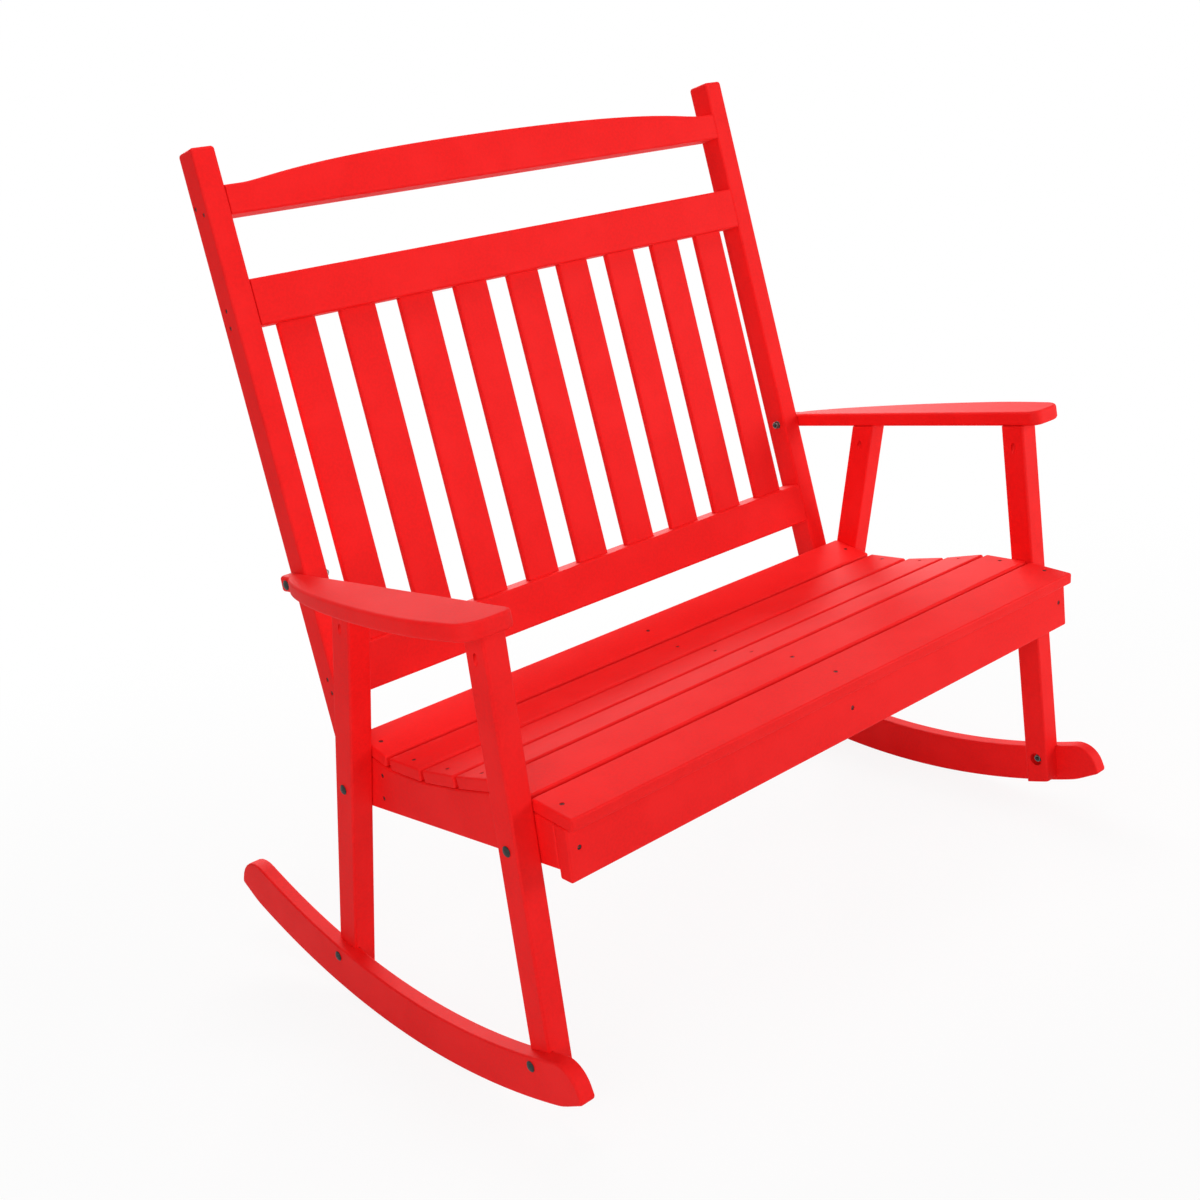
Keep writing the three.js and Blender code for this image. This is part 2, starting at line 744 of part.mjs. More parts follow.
function sides() {
  const group = new THREE.Group();
  const pieces = {
    arm: armGeometry(),
    front_leg: legGeometry(frontLeg),
    rear_leg: legGeometry(rearLeg),
    rocker: rockerGeometry(),
  };
  Object.entries(pieces).forEach(([name, geometry]) => {
    addPiece(group, `${name}_left`, mirrored(geometry), board);
    addPiece(group, `${name}_right`, geometry, board);
  });
  return group;
}

// Each bolt by the face its head sits on, the face its nut sits on, and its place in the side view
function fastenings() {
  const group = new THREE.Group();
  const railInner = benchHalf - sideRailWidth;
  const places = {
    arm: { head: sideInner + armTailWidth, nut: postInner, at: armBoltPlace },
    rear_seat: { head: legOuter, nut: railInner, at: rearLeg.middle.origin },
    front_seat: { head: legOuter, nut: railInner, at: frontLeg.middle.origin },
    rear_rocker: { head: rockerOuter, nut: sideInner + counterboreDepth, at: rockerBoltPlace(rearLeg) },
    front_rocker: { head: rockerOuter, nut: sideInner + counterboreDepth, at: rockerBoltPlace(frontLeg) },
  };
  const nutShape = nutGeometry();
  Object.entries(places).forEach(([name, { head, nut, at }]) => {
    const boltShape = boltGeometry(head, nut);
    [-1, 1].forEach((side) => {
      const suffix = side < 0 ? 'left' : 'right';
      const bolt = addPiece(group, `${name}_bolt_${suffix}`, boltShape, darkSteel);
      const nutMesh = addPiece(group, `${name}_nut_${suffix}`, nutShape, plainSteel);
      const turned = side < 0 ? Math.PI : 0;
      bolt.position.set(side * (head + jointGap), -at.x, at.y);
      bolt.rotation.z = turned;
      nutMesh.position.set(side * (nut - jointGap), -at.x, at.y);
      nutMesh.rotation.z = turned;
    });
  });
  return group;
}

bench.add(backFrame(), seat(), sides(), fastenings());

// Volume and moment of one closed mesh, from the tetrahedra between its faces and the origin
function weigh(mesh) {
  const geometry = mesh.geometry.index ? mesh.geometry.toNonIndexed() : mesh.geometry;
  const position = geometry.getAttribute('position');
  const density = mesh.material === board ? boardDensity : steelDensity;
  const corners = [new THREE.Vector3(), new THREE.Vector3(), new THREE.Vector3()];
  const moment = new THREE.Vector3();
  let mass = 0;
  for (let face = 0; face < position.count; face += 3) {
    corners.forEach((point, offset) => {
      point.fromBufferAttribute(position, face + offset).applyMatrix4(mesh.matrixWorld);
    });
    const weight = (density * corners[0].dot(corners[1].clone().cross(corners[2]))) / 6;
    mass += weight;
    corners.forEach((point) => moment.addScaledVector(point, weight / 4));
  }
  return { mass, moment };
}

// The lean at which the weight hangs under the rockers' centre of curvature
function restingLean() {
  bench.updateMatrixWorld(true);
  const total = new THREE.Vector3();
  let mass = 0;
  bench.traverse((piece) => {
    if (!piece.isMesh) return;
    const share = weigh(piece);
    total.add(share.moment);
    mass += share.mass;
  });
  const centre = total.divideScalar(mass);
  return Math.atan2(rockerBottom.centre.x + centre.y, rockerBottom.centre.y - centre.z);
}

// The rocker stands on the flat nearest that lean
function leanOnFlat() {
  const from = rockerSpan.rear + rockerSpan.heel + rockerSpan.ease;
  const to = rockerSpan.front - rockerSpan.heel - rockerSpan.ease;
  const step = (to - from) / (arcCorners(rockerBottom, from, to).length - 1);
  const flat = Math.floor((-restingLean() - from) / step);
  return -(from + (flat + 1 / 2) * step);
}

bench.rotation.x = -leanOnFlat();
bench.updateMatrixWorld(true);
const extent = new THREE.Box3().setFromObject(bench, true);
const rockingBench = new THREE.Group();
bench.position.y = -(extent.min.y + extent.max.y) / 2;
bench.position.z = -extent.min.z;
rockingBench.add(bench);

export default rockingBench;
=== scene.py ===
"""Dressed model of a rocking bench for two: solid-coloured poly lumber boards, bolts and screws.

Metres. The bench is drawn in its own axes and then carried to the world by its Stance: x runs along
the bench, "rise" runs up along the back from the underside of its lower rail, and "reach" runs
forward from the front face of the back. A side view is drawn as (reach, rise).
"""

import logging
from collections.abc import Sequence
from dataclasses import dataclass
from enum import Enum
from math import atan2, cos, pi, radians, sin

import bpy
import numpy as np
from mathutils import Matrix, Vector


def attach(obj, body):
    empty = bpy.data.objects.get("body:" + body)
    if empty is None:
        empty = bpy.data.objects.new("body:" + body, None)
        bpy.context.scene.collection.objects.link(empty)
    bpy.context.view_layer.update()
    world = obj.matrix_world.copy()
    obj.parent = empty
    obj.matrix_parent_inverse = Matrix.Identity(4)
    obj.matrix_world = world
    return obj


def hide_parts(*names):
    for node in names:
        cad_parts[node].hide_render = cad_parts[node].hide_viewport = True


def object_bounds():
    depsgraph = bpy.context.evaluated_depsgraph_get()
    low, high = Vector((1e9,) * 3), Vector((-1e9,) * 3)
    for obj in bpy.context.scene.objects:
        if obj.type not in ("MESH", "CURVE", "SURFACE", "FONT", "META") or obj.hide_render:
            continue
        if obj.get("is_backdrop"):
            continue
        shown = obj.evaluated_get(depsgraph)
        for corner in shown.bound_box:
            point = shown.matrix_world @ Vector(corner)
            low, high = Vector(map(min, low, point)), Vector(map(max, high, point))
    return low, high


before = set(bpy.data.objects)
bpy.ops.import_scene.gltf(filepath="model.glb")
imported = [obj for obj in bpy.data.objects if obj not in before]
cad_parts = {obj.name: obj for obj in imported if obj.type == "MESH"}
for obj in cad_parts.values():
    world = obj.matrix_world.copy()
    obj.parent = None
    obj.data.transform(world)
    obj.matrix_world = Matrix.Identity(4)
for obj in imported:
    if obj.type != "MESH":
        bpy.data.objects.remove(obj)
cad_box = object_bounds()

log = logging.getLogger("rocking_bench")

Array = np.ndarray
Corner = tuple[float, float, float]
Bench = tuple[float, float, float]
Flat = tuple[float, float]

# How finely rounds are drawn
EASE_STEPS = 5
LEAST_ROUND_SHARE = 1 / 8
ARC_STEP = radians(11)
LEAST_FLATS = 3
PIN_SIDES = 32
SMOOTH_ANGLE = radians(32)

# How far a cutter runs past what it cuts, and the gap between boards that meet
CUT_OVERRUN = 0.004
JOINT_GAP = 0.0003

# Directions in the bench's axes, and straight forward in the side view
LENGTHWISE: Bench = (1, 0, 0)
FORWARD: Bench = (0, 1, 0)
UPWARD: Bench = (0, 0, 1)
LEVEL: Flat = (1.0, 0.0)

# The body that every piece rides on, and the attribute that the finishes' marks follow
BODY = "root"
LIE = "lie"


class Slot(Enum):
    """The record's material slots."""

    BOARDS = "boards"
    BOLTS = "bolts"
    NUTS = "nuts"


class Side(Enum):
    """The two sides of the bench, by the sign of x."""

    LEFT = -1
    RIGHT = 1

    @property
    def word(self) -> str:
        """The side as the nodes' names end."""
        return self.name.lower()


# Plane geometry, as whole arrays


def unit(vector: Array) -> Array:
    """The vector at length one."""
    return vector / np.linalg.norm(vector)


def falling(degrees: float) -> Array:
    """The side-view direction that runs forward and falls by an angle."""
    return np.array([cos(radians(degrees)), -sin(radians(degrees))])


def climbing(degrees: float) -> Array:
    """The side-view direction that runs up and tilts forward by an angle."""
    return np.array([sin(radians(degrees)), cos(radians(degrees))])


@dataclass(frozen=True)
class Line:
    """A line of the side view: a point on it and the way it runs."""

    origin: Array
    along: Array

    def at(self, distance: float) -> Array:
        """The point a distance along the line."""
        return self.origin + self.along * distance

    def at_reach(self, reach: float) -> Array:
        """The point of the line at a given reach."""
        return self.at((reach - self.origin[0]) / self.along[0])

    @property
    def left(self) -> Array:
        """The direction square to the line, to the left of the way it runs."""
        return np.array([-self.along[1], self.along[0]])

    def beside(self, distance: float) -> "Line":
        """The line moved square to itself, to the right of the way it runs."""
        return Line(self.origin - self.left * distance, self.along)

    def reversed(self) -> "Line":
        """The same line, run the other way."""
        return Line(self.origin, -self.along)

    def crossing(self, other: "Line") -> Array:
        """The point where two lines meet."""
        sides = np.column_stack([self.along, -other.along])
        return self.at(np.linalg.solve(sides, other.origin - self.origin)[0])


@dataclass(frozen=True)
class Circle:
    """A circle of the side view."""

    centre: Array
    radius: float

    def angle_at(self, reach: float) -> float:
        """The angle of the low point at a given reach, forward from straight below the centre."""
        return float(np.arcsin((reach - self.centre[0]) / self.radius))

    def below(self, angle: float) -> Array:
        """The direction (sin a, -cos a) from the centre to the point at an angle."""
        return np.array([sin(angle), -cos(angle)])

    def at(self, angle: float) -> Array:
        """The point at an angle."""
        return self.centre + self.radius * self.below(angle)

    def arc(self, start: float, end: float, step: float = 0.009) -> Array:
        """Points centre + radius (sin a, -cos a), about one step apart, from one angle to another."""
        angles = np.linspace(start, end, max(2, round(abs(end - start) * self.radius / step)) + 1)
        return self.centre + self.radius * np.column_stack([np.sin(angles), -np.cos(angles)])

    def leaving(self, line: Line) -> Array:
        """Where a line leaves the circle, along the way it runs.

        With o its origin seen from the centre and h = o.along, that is sqrt(h h - o.o + r r) - h along.

        Args:
            line: the line, which crosses the circle.

        Returns:
            The point.
        """
        offset = line.origin - self.centre
        half = offset @ line.along
        return line.at(float(np.sqrt(half**2 - offset @ offset + self.radius**2) - half))


def corner_arc(before: Array, vertex: Array, after: Array, radius: float) -> Array:
    """The arc that eases one corner: it touches both sides, radius / tan(half angle) from the corner.

    Args:
        before: the corner before.
        vertex: the corner to ease.
        after: the corner after.
        radius: the round, or zero to keep the corner.

    Returns:
        The arc's points in order, or the corner alone.
    """
    if radius == 0:
        return vertex[None]
    back = unit(before - vertex)
    ahead = unit(after - vertex)
    half = np.arccos(np.clip(back @ ahead, -1, 1)) / 2
    centre = vertex + unit(back + ahead) * radius / np.sin(half)
    turn = (pi - 2 * half) * np.sign(ahead[0] * back[1] - ahead[1] * back[0])
    angles = np.linspace(0, turn, max(LEAST_FLATS, round(abs(turn) / ARC_STEP)) + 1)
    spoke = vertex + back * radius / np.tan(half) - centre
    across = np.array([-spoke[1], spoke[0]])
    return centre + np.cos(angles)[:, None] * spoke + np.sin(angles)[:, None] * across


def eased_outline(corners: Sequence[Corner], least: float = 0.0002) -> Array:
    """A closed outline through corners, each with its own round, run anticlockwise.

    Args:
        corners: each corner as two places and a round.
        least: points nearer than this to the one before are left out.

    Returns:
        The outline's points, one row each.
    """
    table = np.array(corners, float)
    spots, rounds = table[:, :2], table[:, 2]
    before, after = np.roll(spots, 1, axis=0), np.roll(spots, -1, axis=0)
    points = np.vstack([corner_arc(*row) for row in zip(before, spots, after, rounds)])
    points = points[np.linalg.norm(points - np.roll(points, 1, axis=0), axis=1) > least]
    ahead = np.roll(points, -1, axis=0)
    area = np.sum(points[:, 0] * ahead[:, 1] - points[:, 1] * ahead[:, 0])
    return points if area > 0 else points[::-1]


def sharp(points: Array | Sequence[Array]) -> list[Corner]:
    """Points as corners with no round."""
    return [(float(x), float(y), 0.0) for x, y in points]


def bezier(ends: Sequence[Sequence[float]], count: int) -> Array:
    """A Bezier curve by de Casteljau: neighbouring points are mixed by t until one is left.

    Args:
        ends: the curve's control points.
        count: how many flats it has.

    Returns:
        count + 1 points.
    """
    share = np.linspace(0, 1, count + 1)[:, None, None]
    points = np.broadcast_to(np.array(ends, float), (count + 1, len(ends), 2))
    while points.shape[1] > 1:
        points = (1 - share) * points[:, :-1] + share * points[:, 1:]
    return points[:, 0]


def rounded_rectangle(width: Array | float, height: Array | float, radius: Array | float) -> Array:
    """Sections (w/2 - r, h/2 - r) by quarter, plus r (cos a, sin a), anticlockwise about the origin.

    Args:
        width: one width, or a width for each section.
        height: one height, or a height for each section.
        radius: one corner radius, or one for each section.

    Returns:
        The points of each section, the sections along the first axis.
    """
    width, height, radius = (np.atleast_1d(value)[:, None] for value in (width, height, radius))
    quarters = np.repeat(np.arange(4), EASE_STEPS + 1)
    angles = quarters * pi / 2 + np.tile(np.linspace(0, pi / 2, EASE_STEPS + 1), 4)
    right = np.where(np.isin(quarters, (0, 3)), 1, -1)
    up = np.where(quarters < 2, 1, -1)
    across = right * (width / 2 - radius) + radius * np.cos(angles)
    above = up * (height / 2 - radius) + radius * np.sin(angles)
    return np.stack(np.broadcast_arrays(across, above), axis=2)


def inward(points: Array) -> Array:
    """How each point of a closed outline moves when the outline shrinks by one, mitred at corners.

    The two sides at a point have inward normals a and b, and the point moves by (a + b) / (1 + a.b).

    Args:
        points: the outline, anticlockwise.

    Returns:
        The moves, one row for each point.
    """
    ahead = np.roll(points, -1, axis=0) - points
    ahead /= np.linalg.norm(ahead, axis=1)[:, None]
    after = np.column_stack([-ahead[:, 1], ahead[:, 0]])
    before = np.roll(after, 1, axis=0)
    return (before + after) / (1 + np.sum(before * after, axis=1))[:, None]


def eased_run(length: float, start: float, end: float) -> tuple[Array, Array]:
    """Insets and places of the sections of a length whose two ends are eased by quarter circles.

    An ease e gives inset e (1 - sin a) at the place e (1 - cos a), for a from nought to a right angle.

    Args:
        length: the whole length.
        start: the ease at the start, or zero.
        end: the ease at the end, or zero.

    Returns:
        The insets and the places, of equal count.
    """
    angles = np.linspace(0, pi / 2, EASE_STEPS + 1)
    insets, places = [], []
    for ease, at_end in ((start, False), (end, True)):
        inset = ease * (1 - np.sin(angles)) if ease else np.zeros(1)
        place = ease * (1 - np.cos(angles)) if ease else np.zeros(1)
        insets.append(inset[::-1] if at_end else inset)
        places.append((length - place)[::-1] if at_end else place)
    return np.concatenate(insets), np.concatenate(places)


# Closed surfaces


def tilted(forward: Sequence[float]) -> Array:
    """The directions of x, of a side-view direction and of the one square to it, one row each."""
    along, up = forward
    return np.array([[1.0, 0.0, 0.0], [0.0, along, up], [0.0, -up, along]])


@dataclass(frozen=True)
class Shell:
    """A closed surface: its points, one row each, and its faces as rings of point numbers."""

    points: Array
    faces: list[tuple[int, ...]]

    def carried(self, axes: Array, origin: Array) -> "Shell":
        """The shell with its own axes laid along others; a mirror turns its faces round.

        Args:
            axes: the three directions that the shell's axes take, one row each.
            origin: where the shell's origin goes.

        Returns:
            The carried shell, with its faces still pointing out.
        """
        mirrored = np.linalg.det(axes) < 0
        faces = [face[::-1] for face in self.faces] if mirrored else self.faces
        return Shell(self.points @ axes + origin, faces)

    def stood(self, x: float, place: Sequence[float], forward: Sequence[float] = LEVEL) -> "Shell":
        """The shell with its first axis along x and the other two in the side view.

        Args:
            x: where its origin goes along the bench.
            place: where its origin goes in the side view.
            forward: the side-view direction of its second axis; the third is square to it.

        Returns:
            The placed shell.
        """
        return self.carried(tilted(forward), np.array([x, *place]))

    def laid(
        self, x: float, place: Sequence[float] = (0.0, 0.0), forward: Sequence[float] = LEVEL
    ) -> "Shell":
        """The shell with its third axis along x and its section in the side view.

        Args:
            x: where its origin goes along the bench.
            place: where its origin goes in the side view.
            forward: the side-view direction of its first axis; the second is square to it.

        Returns:
            The placed shell.
        """
        return self.carried(np.roll(tilted(forward), -1, axis=0), np.array([x, *place]))

    def on_side(self, side: Side) -> "Shell":
        """The shell as drawn for the right side, or its mirror image for the left."""
        return self.carried(np.diag([side.value, 1.0, 1.0]), np.zeros(3))


def gathered(shells: Sequence[Shell]) -> Shell:
    """Several shells as one, their points and faces in turn.

    Args:
        shells: the shells.

    Returns:
        One shell, which holds them all as they were.
    """
    counts = np.cumsum([0] + [len(shell.points) for shell in shells])
    faces = [
        tuple(int(number + first) for number in face)
        for shell, first in zip(shells, counts)
        for face in shell.faces
    ]
    return Shell(np.vstack([shell.points for shell in shells]), faces)


def loft(rings: Array, looped: bool = False) -> Shell:
    """The surface through rings of equally many points, closed by a flat face at either end.

    Ring k joins ring k + 1 by four-sided faces, point by point.

    Args:
        rings: sections by points by three places, each ring anticlockwise seen from ahead.
        looped: whether the last ring joins the first instead of having ends.

    Returns:
        The closed shell.
    """
    count, around = rings.shape[:2]
    numbers = np.arange(count * around).reshape(count, around)
    upper = np.roll(numbers, -1, axis=0) if looped else numbers[1:]
    lower = numbers if looped else numbers[:-1]
    sides = np.stack([lower, np.roll(lower, -1, 1), np.roll(upper, -1, 1), upper], axis=2)
    faces = [tuple(face) for face in sides.reshape(-1, 4).tolist()]
    if not looped:
        faces += [tuple(numbers[0, ::-1].tolist()), tuple(numbers[-1].tolist())]
    return Shell(rings.reshape(-1, 3), faces)


def raised(sections: Array, places: Array) -> Array:
    """Flat sections set at their places along the third axis."""
    heights = np.broadcast_to(places[:, None, None], sections.shape[:2] + (1,))
    return np.concatenate([sections, heights], axis=2)


def board(outline: Array, thickness: float, ease: float = 0.0) -> Shell:
    """An outline carried through a thickness, with both of its faces eased at their edges.

    Args:
        outline: the closed outline, anticlockwise.
        thickness: how far it is carried.
        ease: the round along the edges of both faces.

    Returns:
        The shell, its outline in the first two axes and its thickness along the third.
    """
    insets, places = eased_run(thickness, ease, ease)
    sections = outline[None] + insets[:, None, None] * inward(outline)[None]
    return loft(raised(sections, places))


def stick(width: float, depth: float, length: float, ease: float, ends: Flat = (0.0, 0.0)) -> Shell:
    """A stick along the third axis, its section centred on the axis and shrunk at eased ends.

    Args:
        width: its size along the first axis.
        depth: its size along the second axis.
        length: its length.
        ease: the round of its four long edges.
        ends: the ease at its start and at its end.

    Returns:
        The shell.
    """
    insets, places = eased_run(length, *ends)
    rounds = np.maximum(ease - insets, ease * LEAST_ROUND_SHARE)
    return loft(raised(rounded_rectangle(width - 2 * insets, depth - 2 * insets, rounds), places))


def turned(places: Array, radii: Array, sides: int, looped: bool = False) -> Shell:
    """A turned shape: ring k is radius (cos a, sin a) at its place along the third axis.

    Args:
        places: each ring's place along the axis.
        radii: each ring's radius, one or as many as it has sides.
        sides: how many points a ring has.
        looped: whether the last ring joins the first instead of having ends.

    Returns:
        The shell.
    """
    angles = np.linspace(0, 2 * pi, sides, endpoint=False)
    spokes = np.broadcast_to(radii, (len(places), sides))
    rings = np.stack([spokes * np.cos(angles), spokes * np.sin(angles)], axis=2)
    return loft(raised(rings, places), looped)


# Where the bench stands, and the pieces that are made there


@dataclass(frozen=True)
class Stance:
    """How the bench's own axes (x, reach, rise) lie in the world, with the lean that it rests at."""

    lean: float
    origin: Array

    @classmethod
    def from_slat(cls, node: str, reach: float, rise: float) -> "Stance":
        """Reads the lean and the place from an upright slat of the frame.

        The slat's long direction is the first singular vector of its points, seen from the side.

        Args:
            node: the CAD node of the slat.
            reach: the reach of the slat's middle.
            rise: the rise of the slat's middle.

        Returns:
            The stance of the whole bench.
        """
        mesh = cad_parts[node].data
        flat = np.zeros(len(mesh.vertices) * 3)
        mesh.vertices.foreach_get("co", flat)
        side = flat.reshape(-1, 3)[:, 1:]
        along = np.linalg.svd(side - side.mean(axis=0), full_matrices=False)[2][0]
        along = along * np.sign(along[1])
        forward = np.array([-along[1], along[0]])
        placed = side @ np.column_stack([forward, along])
        middle = (placed.min(axis=0) + placed.max(axis=0)) / 2
        start = (middle - np.array([reach, rise])) @ np.vstack([forward, along])
        return cls(atan2(along[0], along[1]), np.array([0.0, start[0], start[1]]))

    @property
    def axes(self) -> Array:
        """The world directions of x, reach and rise, one row each."""
        fall, stand = sin(self.lean), cos(self.lean)
        return np.array([[1.0, 0.0, 0.0], [0.0, -stand, fall], [0.0, fall, stand]])

    def carried(self, shell: Shell) -> Shell:
        """A shell drawn in the bench's axes, carried to the world."""
        return shell.carried(self.axes, self.origin)


def axes_along(direction: Sequence[float]) -> Array:
    """Three right-handed directions, the third along the one given.

    Args:
        direction: the direction, of any length.

    Returns:
        The three, one row each.
    """
    along = unit(np.array(direction, float))
    helper = np.eye(3)[int(np.argmin(np.abs(along)))]
    first = unit(np.cross(helper, along))
    return np.vstack([first, np.cross(along, first), along])


def pin(radius: float, start: Sequence[float], direction: Sequence[float], length: float) -> Shell:
    """A round pin from a start along a direction, used for bores."""
    shell = turned(np.array([0.0, length]), np.full((2, 1), radius), PIN_SIDES)
    return shell.carried(axes_along(direction), np.array(start))


def side_pin(radius: float, start: float, end: float, place: Array) -> Shell:
    """A pin along x between two places, at a point of the side view."""
    return pin(radius, (start, *place), LENGTHWISE, end - start)


def bores(radius: float, inner: float, outer: float, places: Sequence[Array]) -> Shell:
    """Pins along x at points of the side view, a little past both faces of what they bore."""
    start, end = inner - CUT_OVERRUN, outer + CUT_OVERRUN
    return gathered([side_pin(radius, start, end, place) for place in places])


@dataclass(frozen=True)
class Screw:
    """A flat-headed coated screw with a six-lobed drive, sunk a little below the board."""

    head: float = 0.0062
    rim_share: float = 0.9
    shank: float = 0.0034
    tip_share: float = 0.25
    length: float = 0.024
    straight_share: float = 0.8
    cone: float = 0.0022
    dome: float = 0.0003
    drive: float = 0.0026
    drive_rim_share: float = 1.3
    drive_floor_share: float = 0.9
    drive_depth: float = 0.0014
    lobes: int = 6
    lobe: float = 0.0002
    well: float = 0.0068
    well_depth: float = 0.0014
    sunk: float = 0.0006
    sides: int = 36

    def shell(self, place: Sequence[float], outward: Sequence[float]) -> Shell:
        """The screw as a turned profile, whose radius at the drive swings with cos 6a.

        Args:
            place: the point of the board's face over the middle of the head.
            outward: the way the head looks.

        Returns:
            The shell.
        """
        head, shank, drive = self.head / 2, self.shank / 2, self.drive / 2
        profile = np.array([
            (-self.length, shank * self.tip_share, 0.0),
            (-self.length * self.straight_share, shank, 0.0),
            (-self.cone, shank, 0.0),
            (-self.dome, head, 0.0),
            (0.0, head * self.rim_share, 0.0),
            (self.dome / 2, drive * self.drive_rim_share, 0.0),
            (self.dome / 2, drive, self.lobe),
            (-self.drive_depth, drive * self.drive_floor_share, self.lobe),
        ])
        angles = np.linspace(0, 2 * pi, self.sides, endpoint=False)
        radii = profile[:, 1:2] + profile[:, 2:] * np.cos(self.lobes * angles)
        axes = axes_along(outward)
        start = np.array(place) - axes[2] * (self.sunk + self.dome / 2)
        return turned(profile[:, 0], radii, self.sides).carried(axes, start)

    def well_cut(self, place: Sequence[float], outward: Sequence[float]) -> Shell:
        """The shallow round well that the head lies in."""
        start = np.array(place) - axes_along(outward)[2] * self.well_depth
        return pin(self.well / 2, start, outward, self.well_depth + CUT_OVERRUN)


BOARD_SCREW = Screw()
POCKET_SCREW = Screw(head=0.0076, length=0.034, cone=0.001, dome=0.0008)


@dataclass(frozen=True)
class Fixing:
    """Where a small screw sits: a point of a board's face and the way its head looks."""

    place: Bench
    outward: Bench
    screw: Screw = BOARD_SCREW

    @property
    def shell(self) -> Shell:
        """The screw."""
        return self.screw.shell(self.place, self.outward)

    @property
    def well(self) -> Shell:
        """The cut for the screw's head."""
        return self.screw.well_cut(self.place, self.outward)


def side_fixings(side: Side, x: float, places: Sequence[Flat]) -> list[Fixing]:
    """Screws through the outer face of one side, at points of the side view."""
    return [Fixing((side.value * x, *place), (side.value, 0, 0)) for place in places]


@dataclass
class Workshop:
    """Makes the pieces: carries shells to the world, cuts them and dresses them."""

    stance: Stance
    looks: dict[Slot, bpy.types.Material]
    marks_step: Bench = (0.31, 0.17, 0.73)
    made: int = 0

    def raw(self, name: str, shell: Shell) -> bpy.types.Object:
        """A plain mesh object from a shell in the bench's axes.

        Args:
            name: the object's name.
            shell: the surface, in the bench's axes.

        Returns:
            The object, linked to the scene.
        """
        placed = self.stance.carried(shell)
        mesh = bpy.data.meshes.new(name)
        mesh.from_pydata(placed.points.tolist(), [], placed.faces)
        mesh.validate()
        piece = bpy.data.objects.new(name, mesh)
        bpy.context.scene.collection.objects.link(piece)
        return piece

    def shaped(self, piece: bpy.types.Object, keep: Sequence[Shell], cuts: Sequence[Shell]) -> None:
        """Trims a piece to what lies inside each envelope, then takes each cutter out of it.

        Args:
            piece: the piece, whose mesh is replaced.
            keep: envelopes, in the bench's axes.
            cuts: cutters, in the bench's axes; each one's own shells don't overlap.
        """
        tools = []
        for operation, shells in (("INTERSECT", keep), ("DIFFERENCE", cuts)):
            for shell in shells:
                tool = self.raw("tool", shell)
                step = piece.modifiers.new(operation.lower(), "BOOLEAN")
                step.operation = operation
                step.solver = "EXACT"
                step.object = tool
                tools.append(tool)
        bpy.context.view_layer.update()
        ready = piece.evaluated_get(bpy.context.evaluated_depsgraph_get())
        mesh = bpy.data.meshes.new_from_object(ready)
        piece.modifiers.clear()
        old = piece.data
        piece.data = mesh
        mesh.name = old.name
        bpy.data.meshes.remove(old)
        for tool in tools:
            data = tool.data
            bpy.data.objects.remove(tool)
            bpy.data.meshes.remove(data)

    def lie(self, mesh: bpy.types.Mesh, grain: Sequence[float]) -> None:
        """Stores each point's place along and across the piece, which the finish's marks follow.

        The stored vector is the point against the grain's three directions, shifted by a step of its
        own for every piece so that no two pieces have the same marks.

        Args:
            mesh: the piece's final mesh.
            grain: the way the board was made, in the bench's axes.
        """
        flat = np.zeros(len(mesh.vertices) * 3)
        mesh.vertices.foreach_get("co", flat)
        axes = axes_along(np.array(grain) @ self.stance.axes)
        lies = flat.reshape(-1, 3) @ axes.T + self.made * np.array(self.marks_step)
        stored = mesh.attributes.new(LIE, "FLOAT_VECTOR", "POINT")
        stored.data.foreach_set("vector", lies.astype(np.float32).ravel())

    def add(
        self,
        name: str,
        shell: Shell,
        slot: Slot,
        grain: Sequence[float] = LENGTHWISE,
        cuts: Sequence[Shell] = (),
        keep: Sequence[Shell] = (),
        node: str | None = None,
    ) -> None:
        """Makes one dressed piece that rides on the bench.

        Args:
            name: the piece's name.
            shell: its surface, in the bench's axes.
            slot: the material slot that it takes its finish from.
            grain: the way it was made, in the bench's axes.
            cuts: cutters that are taken out of it.
            keep: envelopes that it is trimmed to.
            node: the CAD node that it stands for, where there is one.
        """
        piece = self.raw(name, shell)
        if keep or cuts:
            self.shaped(piece, keep, cuts)
        mesh = piece.data
        mesh.polygons.foreach_set("use_smooth", np.ones(len(mesh.polygons), bool))
        mesh.set_sharp_from_angle(angle=SMOOTH_ANGLE)
        self.lie(mesh, grain)
        mesh.materials.clear()
        mesh.materials.append(self.looks[slot])
        shading = piece.modifiers.new("flats stay flat", "WEIGHTED_NORMAL")
        shading.keep_sharp = True
        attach(piece, BODY)
        if node:
            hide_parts(node)
        self.made += 1
        log.info("%s: %d faces", name, len(mesh.polygons))

    def add_screws(self, name: str, fixings: Sequence[Fixing]) -> None:
        """Makes a row of small screws as one piece."""
        self.add(name, gathered([fixing.shell for fixing in fixings]), Slot.BOLTS)

    def add_board(
        self,
        node: str,
        shell: Shell,
        grain: Sequence[float] = LENGTHWISE,
        cuts: Sequence[Shell] = (),
        keep: Sequence[Shell] = (),
        fixings: Sequence[Fixing] = (),
    ) -> None:
        """Makes a board, then the row of screws that is driven into it, with a well for each head.

        Args:
            node: the CAD node that it stands for.
            shell: its surface, in the bench's axes.
            grain: the way it was drawn, in the bench's axes.
            cuts: cutters that are taken out of it.
            keep: envelopes that it is trimmed to.
            fixings: where each screw sits, where there are some.
        """
        wells = [gathered([fixing.well for fixing in fixings])] if fixings else []
        self.add(f"{node}_board", shell, Slot.BOARDS, grain, [*cuts, *wells], keep, node)
        if fixings:
            self.add_screws(f"{node}_screws", fixings)


# The sub-assemblies


